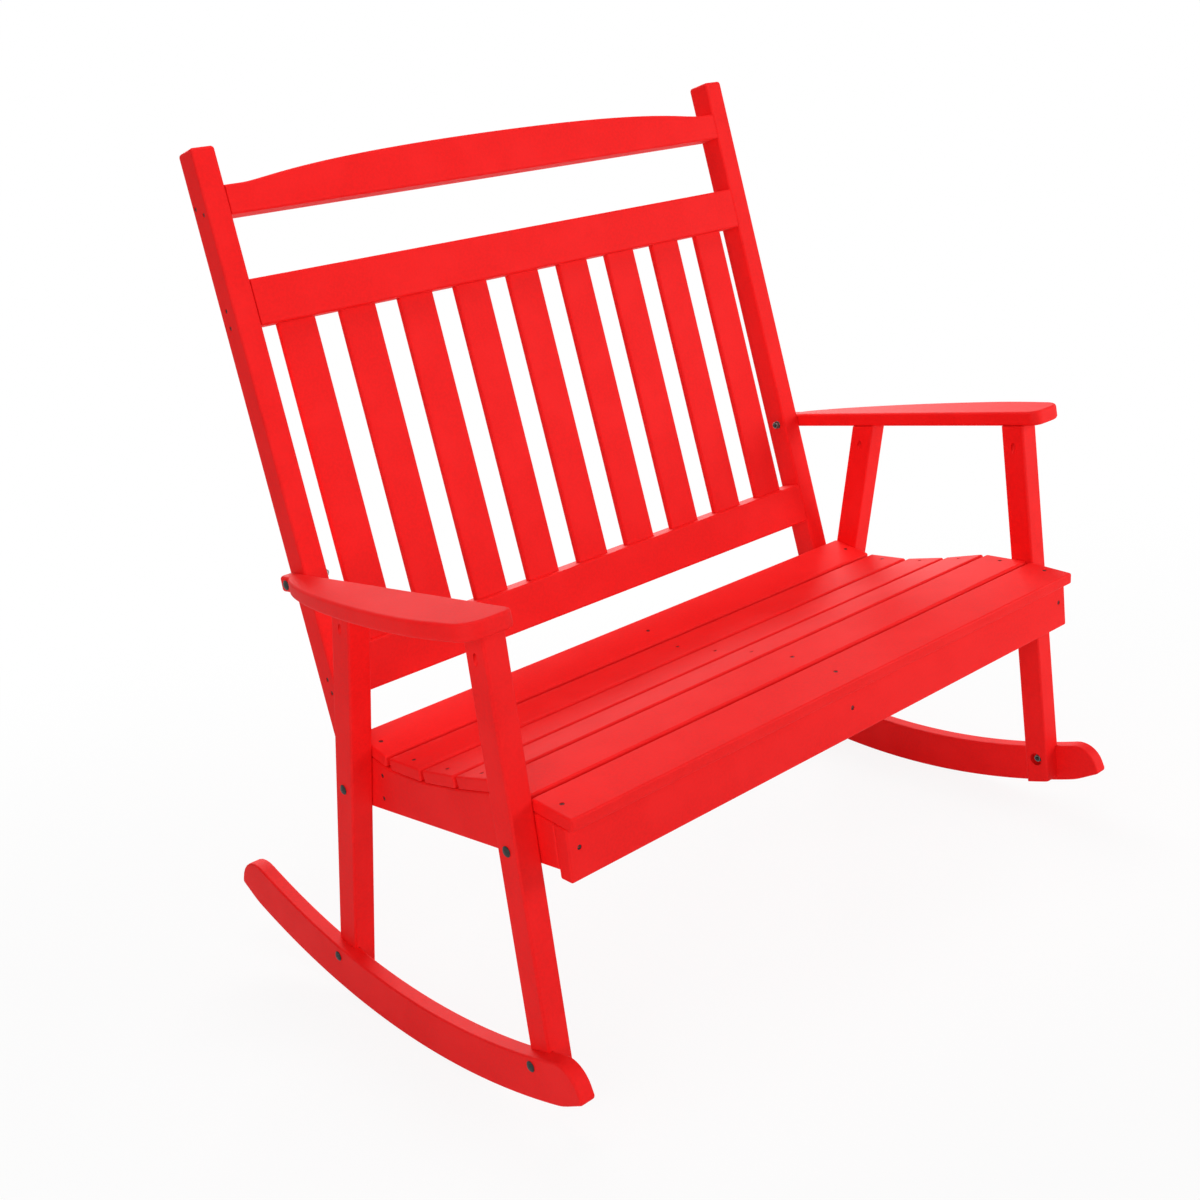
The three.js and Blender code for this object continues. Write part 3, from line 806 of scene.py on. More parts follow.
@dataclass(frozen=True)
class BackFrame:
    """Two posts, two rails, the crest between the posts' tops, and the upright slats."""

    width: float = 1.020
    post_width: float = 0.036
    post_depth: float = 0.044
    post_top_lead: float = 0.0556
    post_foot_drop: float = 0.150
    post_top_ease: float = 0.0055
    lower_rail_height: float = 0.068
    upper_rail_height: float = 0.067
    upper_rail_rise: float = 0.5402
    crest_gap: float = 0.0908
    crest_end_height: float = 0.0424
    crest_crown: float = 0.0229
    crest_shoulder: float = 0.0245
    crest_shoulder_ease_share: float = 0.095
    crest_crown_ease_share: float = 0.79
    crest_flats: int = 40
    slat_count: int = 9
    slat_width: float = 0.061
    slat_thickness: float = 0.012
    slat_end_gap: float = 0.0323
    slat_setback: float = 0.0145
    slat_housing: float = 0.008
    ease: float = 0.0036
    crest_screws: tuple[Flat, ...] = ((-0.034, 0.717), (-0.014, 0.705))
    upper_rail_screws: tuple[Flat, ...] = ((-0.024, 0.571), (-0.025, 0.5465))
    lower_rail_screws: tuple[Flat, ...] = ((-0.018, 0.033), (-0.015, 0.013))

    @property
    def half(self) -> float:
        """Half the bench's width over the posts."""
        return self.width / 2

    @property
    def post_inner(self) -> float:
        """The x of a post's inner face."""
        return self.half - self.post_width

    @property
    def crest_rise(self) -> float:
        """The rise of the crest's underside."""
        return self.upper_rail_rise + self.upper_rail_height + self.crest_gap

    @property
    def slat_middle(self) -> Flat:
        """The reach and the rise of a slat's middle."""
        rise = (self.lower_rail_height + self.upper_rail_rise) / 2
        return (-self.slat_setback - self.slat_thickness / 2, rise)

    def post(self) -> Shell:
        """The right post: a stick with four long rounds and an eased top."""
        top = self.crest_rise + self.crest_end_height + self.post_top_lead
        ends = (self.ease, self.post_top_ease)
        shell = stick(self.post_width, self.post_depth, top + self.post_foot_drop, self.ease, ends)
        place = (-self.post_depth / 2, -self.post_foot_drop)
        return shell.stood(self.half - self.post_width / 2, place)

    def rail(self, rise: float, height: float) -> Shell:
        """A back rail between the posts, its ends square against them.

        Args:
            rise: the rise of its underside.
            height: its height.

        Returns:
            The shell.
        """
        half = self.post_inner - JOINT_GAP
        shell = stick(self.post_depth, height, 2 * half, self.ease)
        return shell.laid(-half, (-self.post_depth / 2, rise + height / 2))

    def slat(self, index: int, grown: float = 0.0) -> Shell:
        """An upright slat, housed in both rails.

        Args:
            index: which one, from the left and from nought.
            grown: how far it is grown all round, for the housing that it sits in.

        Returns:
            The shell.
        """
        pitch = (2 * (self.post_inner - self.slat_end_gap) - self.slat_width) / (self.slat_count - 1)
        foot = self.lower_rail_height - self.slat_housing - grown
        top = self.upper_rail_rise + self.slat_housing + grown
        width, thickness = self.slat_width + 2 * grown, self.slat_thickness + 2 * grown
        shell = stick(width, thickness, top - foot, self.ease + grown)
        return shell.stood((index - (self.slat_count - 1) / 2) * pitch, (self.slat_middle[0], foot))

    def crest(self) -> Shell:
        """The crest: sections (depth by height of the curve) carried along x, one at each place.

        The top is level beside each post and then one Bezier curve up to the crown.
        """
        half = self.post_inner - JOINT_GAP
        shoulder = self.post_inner - self.crest_shoulder
        end, crown = self.crest_end_height, self.crest_end_height + self.crest_crown
        controls = (
            (shoulder, end),
            (shoulder * (1 - self.crest_shoulder_ease_share), end),
            (shoulder * self.crest_crown_ease_share, crown),
            (0.0, crown),
        )
        right = np.vstack([[half, end], bezier(controls, self.crest_flats)])
        run = np.vstack([right * [-1, 1], right[-2::-1]])
        sections = rounded_rectangle(self.post_depth, run[:, 1], self.ease)
        sections[:, :, 1] += run[:, 1][:, None] / 2
        return loft(raised(sections, run[:, 0])).laid(0.0, (-self.post_depth / 2, self.crest_rise))

    def build(self, shop: Workshop, arm_bolt: Array, bore: float) -> None:
        """Makes the back's pieces.

        Args:
            shop: where they are made.
            arm_bolt: the place of the arm bolts in the side view.
            bore: the radius of their bores.
        """
        hole = bores(bore, self.post_inner, self.half, [arm_bolt])
        places = self.crest_screws + self.upper_rail_screws + self.lower_rail_screws
        for side in Side:
            post, cuts = self.post().on_side(side), [hole.on_side(side)]
            fixings = side_fixings(side, self.half, places)
            shop.add_board(f"back_post_{side.word}", post, UPWARD, cuts, fixings=fixings)
        housings = gathered([self.slat(index, JOINT_GAP) for index in range(self.slat_count)])
        for node, rise, height in (
            ("lower_back_rail", 0.0, self.lower_rail_height),
            ("upper_back_rail", self.upper_rail_rise, self.upper_rail_height),
        ):
            shop.add_board(node, self.rail(rise, height), cuts=[housings])
        shop.add_board("crest_rail", self.crest())
        for index in range(self.slat_count):
            shop.add_board(f"back_slat_{index + 1}", self.slat(index), UPWARD)


@dataclass(frozen=True)
class Seat:
    """Six slats laid on a curve, the bearers under them, the rear cross rail and the apron."""

    back: BackFrame
    slat_width: float = 0.076
    slat_thickness: float = 0.018
    slat_gap: float = 0.007
    slat_falls: tuple[float, ...] = (21.8, 7.7, 0.6, -2, 10.5, 15.5)
    rear_reach: float = 0.024
    rear_drop: float = 0.046
    rail_width: float = 0.035
    rail_rear_drop: float = 0.153
    rail_front_drop: float = 0.1905
    cross_rail_thickness: float = 0.023
    cross_rail_height: float = 0.066
    cross_rail_place: float = 0.065
    apron_thickness: float = 0.023
    apron_height: float = 0.0715
    apron_fall: float = 11
    apron_setback: float = 0.013
    ease: float = 0.0036
    end_ease: float = 0.003
    screw_inset: float = 0.0175
    middle_screw_drift: tuple[float, ...] = (0.014, 0.001, 0.003, 0.0, 0.0, -0.0025)
    apron_screw_drop: float = 0.0294
    cross_rail_screws: tuple[Flat, ...] = ((0.0705, -0.1037), (0.0578, -0.1385))

    @property
    def slat_tops(self) -> list[Line]:
        """The top line of each slat, from its rear edge, the first at the back."""
        start = np.array([self.rear_reach, -self.rear_drop])
        lines = []
        for fall, after in zip(self.slat_falls, self.slat_falls[1:] + self.slat_falls[-1:]):
            lines.append(Line(start, falling(fall)))
            start = start + falling(fall) * self.slat_width + falling((fall + after) / 2) * self.slat_gap
        return lines

    @property
    def undersides(self) -> list[Line]:
        """The lines that the bearers follow, a joint gap under the slats."""
        return [line.beside(self.slat_thickness + JOINT_GAP) for line in self.slat_tops]

    @property
    def apron_front(self) -> Line:
        """The apron's front face, down from the underside of the last slat."""
        top = self.undersides[-1].at(self.slat_width - self.apron_setback)
        return Line(top, -climbing(self.apron_fall))

    @property
    def apron_rear(self) -> Line:
        """The apron's rear face."""
        return self.apron_front.beside(self.apron_thickness)

    @property
    def cross_rail_middle(self) -> Line:
        """The middle line of the rear cross rail, square down from the first slat."""
        return Line(self.undersides[0].at(self.cross_rail_place), -climbing(self.slat_falls[0]))

    @property
    def rail_bottom(self) -> Line:
        """The bottom edge of the side rails."""
        run = np.array([self.apron_rear.origin[0], self.rail_rear_drop - self.rail_front_drop])
        return Line(np.array([JOINT_GAP, -self.rail_rear_drop]), unit(run))

    @property
    def post_face(self) -> Line:
        """The line up the posts' front faces, a joint gap off them."""
        return Line(np.array([JOINT_GAP, 0.0]), climbing(0))

    def bearer(self, rear: Line, undersides: Sequence[Line], start: float) -> Shell:
        """A bearer on edge: its top follows the slats, and it ends at the apron.

        Args:
            rear: the line of its rear end.
            undersides: the undersides of the slats that it carries.
            start: the x of its left face.

        Returns:
            The shell.
        """
        stop = self.apron_front.beside(self.apron_thickness + JOINT_GAP)
        ridge = [one.crossing(two) for one, two in zip(undersides, undersides[1:])]
        spots = [
            rear.crossing(self.rail_bottom),
            stop.crossing(self.rail_bottom),
            stop.crossing(undersides[-1]),
            *ridge[::-1],
            rear.crossing(undersides[0]),
        ]
        return board(eased_outline(sharp(spots)), self.rail_width, self.end_ease).laid(start)

    def side_rail(self) -> Shell:
        """The right side rail, from the post's face to the apron."""
        return self.bearer(self.post_face, self.undersides, self.back.half - self.rail_width)

    def centre_support(self) -> Shell:
        """The bearer under the middle of the seat, from the cross rail to the apron."""
        rear = self.cross_rail_middle.beside(-self.cross_rail_thickness / 2 - JOINT_GAP)
        return self.bearer(rear, self.undersides[1:], -self.rail_width / 2)

    def cross_rail(self) -> Shell:
        """The rear cross rail between the side rails, square to the first slat."""
        half = self.back.half - self.rail_width - JOINT_GAP
        line = self.cross_rail_middle
        shell = stick(self.cross_rail_thickness, self.cross_rail_height, 2 * half, self.ease)
        return shell.laid(-half, line.at(self.cross_rail_height / 2), line.left)

    def apron(self) -> Shell:
        """The front apron: its top edge is bevelled to the last slat."""
        spots = (
            self.apron_rear.at(self.apron_height),
            self.apron_front.at(self.apron_height),
            self.apron_front.origin,
            self.apron_rear.crossing(self.undersides[-1]),
        )
        outline = eased_outline([(*spot, self.ease) for spot in spots])
        return board(outline, self.back.width, self.end_ease).laid(-self.back.half)

    def slat(self, line: Line) -> Shell:
        """A seat slat.

        Args:
            line: the line of its top, from its rear edge.

        Returns:
            The shell.
        """
        ends = (self.end_ease, self.end_ease)
        shell = stick(self.slat_width, self.slat_thickness, self.back.width, self.ease, ends)
        middle = line.at(self.slat_width / 2) - line.left * self.slat_thickness / 2
        return shell.laid(-self.back.half, middle, line.along)

    def bearer_fixings(self, face: Line, distance: float, drift: float = 0.0) -> list[Fixing]:
        """Three screws, one over each bearer.

        Args:
            face: the face that they go into, with the outside to its left.
            distance: how far along it they sit.
            drift: how far the middle one was set off the middle by eye.

        Returns:
            The fixings.
        """
        edge = self.back.half - self.screw_inset
        return [Fixing((x, *face.at(distance)), (0.0, *face.left)) for x in (-edge, drift, edge)]

    def build(self, shop: Workshop, leg_bolts: Sequence[Array], bore: float) -> None:
        """Makes the seat's pieces.

        Args:
            shop: where they are made.
            leg_bolts: the places of the bolts through the side rails in the side view.
            bore: the radius of their bores.
        """
        holes = bores(bore, self.back.half - self.rail_width, self.back.half, leg_bolts)
        for side in Side:
            rail, cuts = self.side_rail().on_side(side), [holes.on_side(side)]
            fixings = side_fixings(side, self.back.half, self.cross_rail_screws)
            shop.add_board(f"side_rail_{side.word}", rail, FORWARD, cuts, fixings=fixings)
        shop.add_board("centre_support", self.centre_support(), FORWARD)
        shop.add_board("rear_cross_rail", self.cross_rail())
        fixings = self.bearer_fixings(self.apron_front, self.apron_screw_drop)
        shop.add_board("front_apron", self.apron(), fixings=fixings)
        for index, (line, drift) in enumerate(zip(self.slat_tops, self.middle_screw_drift), 1):
            fixings = self.bearer_fixings(line, self.slat_width / 2, drift)
            shop.add_board(f"seat_slat_{index}", self.slat(line), fixings=fixings)


@dataclass(frozen=True)
class Leg:
    """A leg in the side view: its sizes and the middle line that runs up it."""

    word: str
    depth: float
    rocker_bolt_inset: float
    middle: Line

    @property
    def down(self) -> Line:
        """The middle line run downwards."""
        return self.middle.reversed()


@dataclass(frozen=True)
class Sides:
    """The arms, the legs that carry them and the rockers let into the legs."""

    back: BackFrame
    seat: Seat
    leg_width: float = 0.035
    rear_leg_depth: float = 0.043
    rear_leg_reach: float = 0.015
    rear_leg_bolt_rise: float = 0.0386
    rear_leg_tilt: float = 26.04
    front_leg_depth: float = 0.0405
    front_leg_inset: float = 0.0595
    front_leg_bolt_rise: float = 0.0282
    front_leg_tilt: float = 9.5
    leg_tongue: float = 0.0275
    foot_clearance: float = 0.008
    pocket_diameter: float = 0.0085
    pocket_drop: float = 0.0365
    pocket_depth: float = 0.020
    pocket_angle: float = 27
    arm_thickness: float = 0.023
    arm_rise: float = 0.1902
    arm_slope: float = 5.9
    arm_tail_width: float = 0.0225
    arm_tail_inset: float = 0.008
    arm_tail_reach: float = -0.008
    arm_width: float = 0.084
    arm_front_width: float = 0.076
    arm_front_lead: float = 0.051
    arm_ease_length: float = 0.122
    arm_ease_share: float = 0.36
    arm_ease_flats: int = 12
    arm_swell_start: Flat = (0.37, 0.072)
    arm_swell_end: float = 0.51
    arm_swell_flats: int = 44
    arm_outer_round: float = 0.034
    arm_inner_round: float = 0.016
    arm_tail_round: float = 0.007
    arm_edge_ease: float = 0.0045
    arm_bolt_reach: float = -0.018
    rocker_width: float = 0.023
    rocker_radius: float = 1.3205
    rocker_low_reach: float = 0.2535
    rocker_low_drop: float = 0.4913
    rocker_depth: float = 0.0619
    rocker_taper: float = 0.028
    rocker_rear_tail: float = 0.2925
    rocker_front_lead: float = 0.0954
    rocker_rear_round: float = 0.061
    rocker_front_round: float = 0.036
    rocker_round_room: float = 1.06
    rocker_heel_round: float = 0.006
    rocker_heel_length: float = 0.048
    rocker_heel_lift: float = 0.0075
    rocker_heel_ease: float = 0.120
    rear_rocker_bolt_inset: float = 0.017
    front_rocker_bolt_inset: float = 0.0133
    counterbore: float = 0.021
    counterbore_depth: float = 0.011
    bore: float = 0.0035
    ease: float = 0.0036
    rocker_ease: float = 0.003

    @property
    def inner(self) -> float:
        """The x of the legs' inner faces."""
        return self.back.half + JOINT_GAP

    @property
    def outer(self) -> float:
        """The x of the legs' outer faces."""
        return self.inner + self.leg_width

    @property
    def leg_middle(self) -> float:
        """The x of the legs' middle lines."""
        return (self.inner + self.outer) / 2

    @property
    def rocker_inner(self) -> float:
        """The x of a rocker's inner face."""
        return self.inner + self.leg_tongue + JOINT_GAP

    @property
    def rocker_outer(self) -> float:
        """The x of a rocker's outer face."""
        return self.rocker_inner + self.rocker_width

    @property
    def rocker_bottom(self) -> Circle:
        """The circle of the rockers' bottom edge."""
        centre = np.array([self.rocker_low_reach, self.rocker_radius - self.rocker_low_drop])
        return Circle(centre, self.rocker_radius)

    @property
    def rocker_top(self) -> Circle:
        """The circle of the rockers' top edge, centred a little further forward."""
        bottom = self.rocker_bottom
        return Circle(bottom.centre + np.array([self.rocker_taper, 0.0]), bottom.radius - self.rocker_depth)

    @property
    def arm_top(self) -> Line:
        """The line of the arms' top face."""
        return Line(np.array([0.0, self.arm_rise]), falling(self.arm_slope))

    @property
    def arm_underside(self) -> Line:
        """The line that the legs end at, a joint gap under the arms."""
        return self.arm_top.beside(self.arm_thickness + JOINT_GAP)

    def leg_line(self, reach: float, bolt_rise: float, tilt: float) -> Line:
        """The middle line of a leg, up from its bolt through the side rail.

        Args:
            reach: the reach of the bolt.
            bolt_rise: the bolt's height over the side rail's bottom edge.
            tilt: how far the leg tilts forward.

        Returns:
            The line.
        """
        bolt = self.seat.rail_bottom.at_reach(reach) + np.array([0.0, bolt_rise])
        return Line(bolt, climbing(tilt))

    @property
    def rear_leg(self) -> Leg:
        """The rear leg."""
        middle = self.leg_line(self.rear_leg_reach, self.rear_leg_bolt_rise, self.rear_leg_tilt)
        return Leg("rear_leg", self.rear_leg_depth, self.rear_rocker_bolt_inset, middle)

    @property
    def front_leg(self) -> Leg:
        """The front leg, placed from the apron."""
        reach = self.seat.apron_rear.origin[0] - self.front_leg_inset
        middle = self.leg_line(reach, self.front_leg_bolt_rise, self.front_leg_tilt)
        return Leg("front_leg", self.front_leg_depth, self.front_rocker_bolt_inset, middle)

    @property
    def legs(self) -> tuple[Leg, Leg]:
        """Both legs of a side, the rear one first."""
        return self.rear_leg, self.front_leg

    @property
    def rocker_bolts(self) -> list[Array]:
        """The places of the bolts through the legs and the rockers, the rear one first."""
        return [self.rocker_bolt(leg) for leg in self.legs]

    @property
    def arm_front(self) -> float:
        """The reach of the arms' front ends."""
        return float(self.front_leg.middle.crossing(self.arm_underside)[0]) + self.arm_front_lead

    @property
    def arm_bolt(self) -> Array:
        """The place of the bolts through the arms' tails."""
        return self.arm_top.beside(self.arm_thickness / 2).at_reach(self.arm_bolt_reach)

    def rocker_bolt(self, leg: Leg) -> Array:
        """The place of the bolt through a leg and its rocker."""
        top = self.rocker_top.leaving(leg.down)
        return top + leg.down.along * leg.rocker_bolt_inset

    def rocker_outline(self, grown: float = 0.0) -> Array:
        """The rocker's side view: two arcs, a large round at either top end, and heels that lift.

        Args:
            grown: how far it is grown, for the notch that it leaves in a leg.

        Returns:
            The outline.
        """
        plain = self.rocker_bottom
        bottom = Circle(plain.centre, plain.radius + grown)
        heels = Circle(plain.centre, bottom.radius - self.rocker_heel_lift)
        top = Circle(self.rocker_top.centre, self.rocker_top.radius - grown)
        behind, ahead = self.rocker_bolts
        rear = plain.angle_at(behind[0] - self.rocker_rear_tail)
        front = plain.angle_at(ahead[0] + self.rocker_front_lead)
        heel = self.rocker_heel_length / plain.radius
        ease = self.rocker_heel_ease * self.rocker_heel_lift / self.rocker_heel_length / plain.radius
        front_top = top.leaving(Line(bottom.centre, bottom.below(front)))
        rear_top = top.leaving(Line(bottom.centre, bottom.below(rear)))
        front_room, rear_room = (
            size * self.rocker_round_room / top.radius
            for size in (self.rocker_front_round, self.rocker_rear_round)
        )
        from_front = top.angle_at(front_top[0]) - front_room
        to_rear = top.angle_at(rear_top[0]) + rear_room
        return eased_outline([
            (*heels.at(rear), self.rocker_heel_round),
            (*bottom.at(rear + heel), self.rocker_heel_ease),
            *sharp(bottom.arc(rear + heel + ease, front - heel - ease)),
            (*bottom.at(front - heel), self.rocker_heel_ease),
            (*heels.at(front), self.rocker_heel_round),
            (*front_top, self.rocker_front_round),
            *sharp(top.arc(from_front, to_rear)),
            (*rear_top, self.rocker_rear_round),
        ])

    def rocker(self) -> Shell:
        """The right rocker."""
        shell = board(self.rocker_outline(), self.rocker_width, self.rocker_ease)
        return shell.laid(self.rocker_inner)

    def notch(self) -> Shell:
        """What the rocker takes out of a leg."""
        shell = board(self.rocker_outline(JOINT_GAP), self.rocker_width + JOINT_GAP)
        return shell.laid(self.rocker_inner - JOINT_GAP)

    def envelope(self) -> Shell:
        """What the legs may fill: from just above the rockers' bottom edge to the arms' underside."""
        foot = Circle(self.rocker_bottom.centre, self.rocker_radius - self.foot_clearance)
        rear, front = (foot.leaving(leg.down)[0] for leg in self.legs)
        start, end = rear - self.rear_leg_depth, front + self.front_leg_depth
        arc = foot.arc(foot.angle_at(start), foot.angle_at(end))
        tops = [self.arm_underside.at_reach(reach) for reach in (self.arm_front, arc[0, 0])]
        outline = eased_outline(sharp([*arc, *tops]))
        shell = board(outline, self.rocker_outer - self.inner + CUT_OVERRUN)
        return shell.laid(self.inner - CUT_OVERRUN)

    def leg_stick(self, leg: Leg) -> Shell:
        """A leg before it is trimmed, longer than it will be at both ends.

        Args:
            leg: which leg.

        Returns:
            The shell.
        """
        top = leg.middle.crossing(self.arm_underside)
        foot = self.rocker_bottom.leaving(leg.down)
        length = float(np.linalg.norm(top - foot)) + 2 * leg.depth
        shell = stick(self.leg_width, leg.depth, length, self.ease)
        return shell.stood(self.leg_middle, foot - leg.middle.along * leg.depth, leg.down.left)

    def pockets(self, leg: Leg) -> list[tuple[Array, Array]]:
        """The slanted bores that run up into the arm, one in each face of a leg.

        Args:
            leg: which leg.

        Returns:
            The mouth and the direction of each.
        """
        place = leg.middle.crossing(self.arm_underside) - leg.middle.along * self.pocket_drop
        lean, stand = sin(radians(self.pocket_angle)), cos(radians(self.pocket_angle))
        return [
            (
                np.array([self.leg_middle + face * self.leg_width / 2, *place]),
                np.array([-face * lean, *(leg.middle.along * stand)]),
            )
            for face in (-1, 1)
        ]

    def leg_cuts(self, leg: Leg) -> list[Shell]:
        """What is cut out of a leg: the rocker's notch, the bores, the counterbore and the pockets.

        Args:
            leg: which leg.

        Returns:
            The cutters.
        """
        low_bolt = self.rocker_bolt(leg)
        start, end = self.inner - CUT_OVERRUN, self.inner + self.counterbore_depth
        pockets = [
            pin(self.pocket_diameter / 2, mouth - along * self.pocket_depth, along, 2 * self.pocket_depth)
            for mouth, along in self.pockets(leg)
        ]
        return [
            self.notch(),
            bores(self.bore, self.inner, self.outer, [leg.middle.origin, low_bolt]),
            side_pin(self.counterbore / 2, start, end, low_bolt),
            gathered(pockets),
        ]

    def pocket_screws(self, leg: Leg, side: Side) -> list[Fixing]:
        """The screws at the bottom of the pockets, which run up into the arm.

        Args:
            leg: which leg.
            side: which side of the bench.

        Returns:
            The fixings.
        """
        mirror = np.array([side.value, 1, 1])
        return [
            Fixing(
                tuple((mouth + along * self.pocket_depth) * mirror), tuple(-along * mirror), POCKET_SCREW
            )
            for mouth, along in self.pockets(leg)
        ]

    def arm(self) -> Shell:
        """The right arm: straight inside edge, outer edge one swell from the tail and an ease in front.

        It is drawn flat as (x, run along the slope), given its thickness and then tipped.
        """
        narrow, width, start = self.arm_tail_width, self.arm_width, self.arm_tail_reach
        tail, front = self.arm_tail_inset - self.back.post_depth, self.arm_front
        widest = front - self.arm_ease_length
        run, extra = widest - start, width - narrow
        room = self.arm_ease_length - self.arm_outer_round
        swell = (
            (narrow, start),
            (narrow + self.arm_swell_start[0] * extra, start + self.arm_swell_start[1] * run),
            (width, start + self.arm_swell_end * run),
            (width, widest),
        )
        ease = (
            (width, widest),
            (width, widest + self.arm_ease_share * room),
            (self.arm_front_width, widest + room),
        )
        corners = np.array([
            (0.0, front, self.arm_inner_round),
            (0.0, tail, self.arm_tail_round),
            (narrow, tail, self.arm_tail_round),
            *sharp(bezier(swell, self.arm_swell_flats)),
            *sharp(bezier(ease, self.arm_ease_flats)[1:]),
            (self.arm_front_width, front, self.arm_outer_round),
        ])
        corners[:, 0] += self.inner
        corners[:, 1] /= cos(radians(self.arm_slope))
        flat = board(eased_outline(corners), self.arm_thickness, self.arm_edge_ease)
        return flat.stood(0.0, self.arm_top.beside(self.arm_thickness).origin, self.arm_top.along)

    def build(self, shop: Workshop) -> None:
        """Makes the arms, the legs and the rockers.

        Args:
            shop: where they are made.
        """
        rocker_bores = bores(self.bore, self.rocker_inner, self.rocker_outer, self.rocker_bolts)
        start, end = self.inner - CUT_OVERRUN, self.inner + self.arm_width
        arm_bore = side_pin(self.bore, start, end, self.arm_bolt)
        for side in Side:
            arm, cuts = self.arm().on_side(side), [arm_bore.on_side(side)]
            shop.add_board(f"arm_{side.word}", arm, FORWARD, cuts)
            for leg in self.legs:
                node = f"{leg.word}_{side.word}"
                grain = (0.0, *leg.middle.along)
                cuts = [cut.on_side(side) for cut in self.leg_cuts(leg)]
                keep = [self.envelope().on_side(side)]
                shop.add_board(node, self.leg_stick(leg).on_side(side), grain, cuts, keep)
                shop.add_screws(f"{node}_pocket_screws", self.pocket_screws(leg, side))
            rocker, cuts = self.rocker().on_side(side), [rocker_bores.on_side(side)]
            shop.add_board(f"rocker_{side.word}", rocker, FORWARD, cuts)


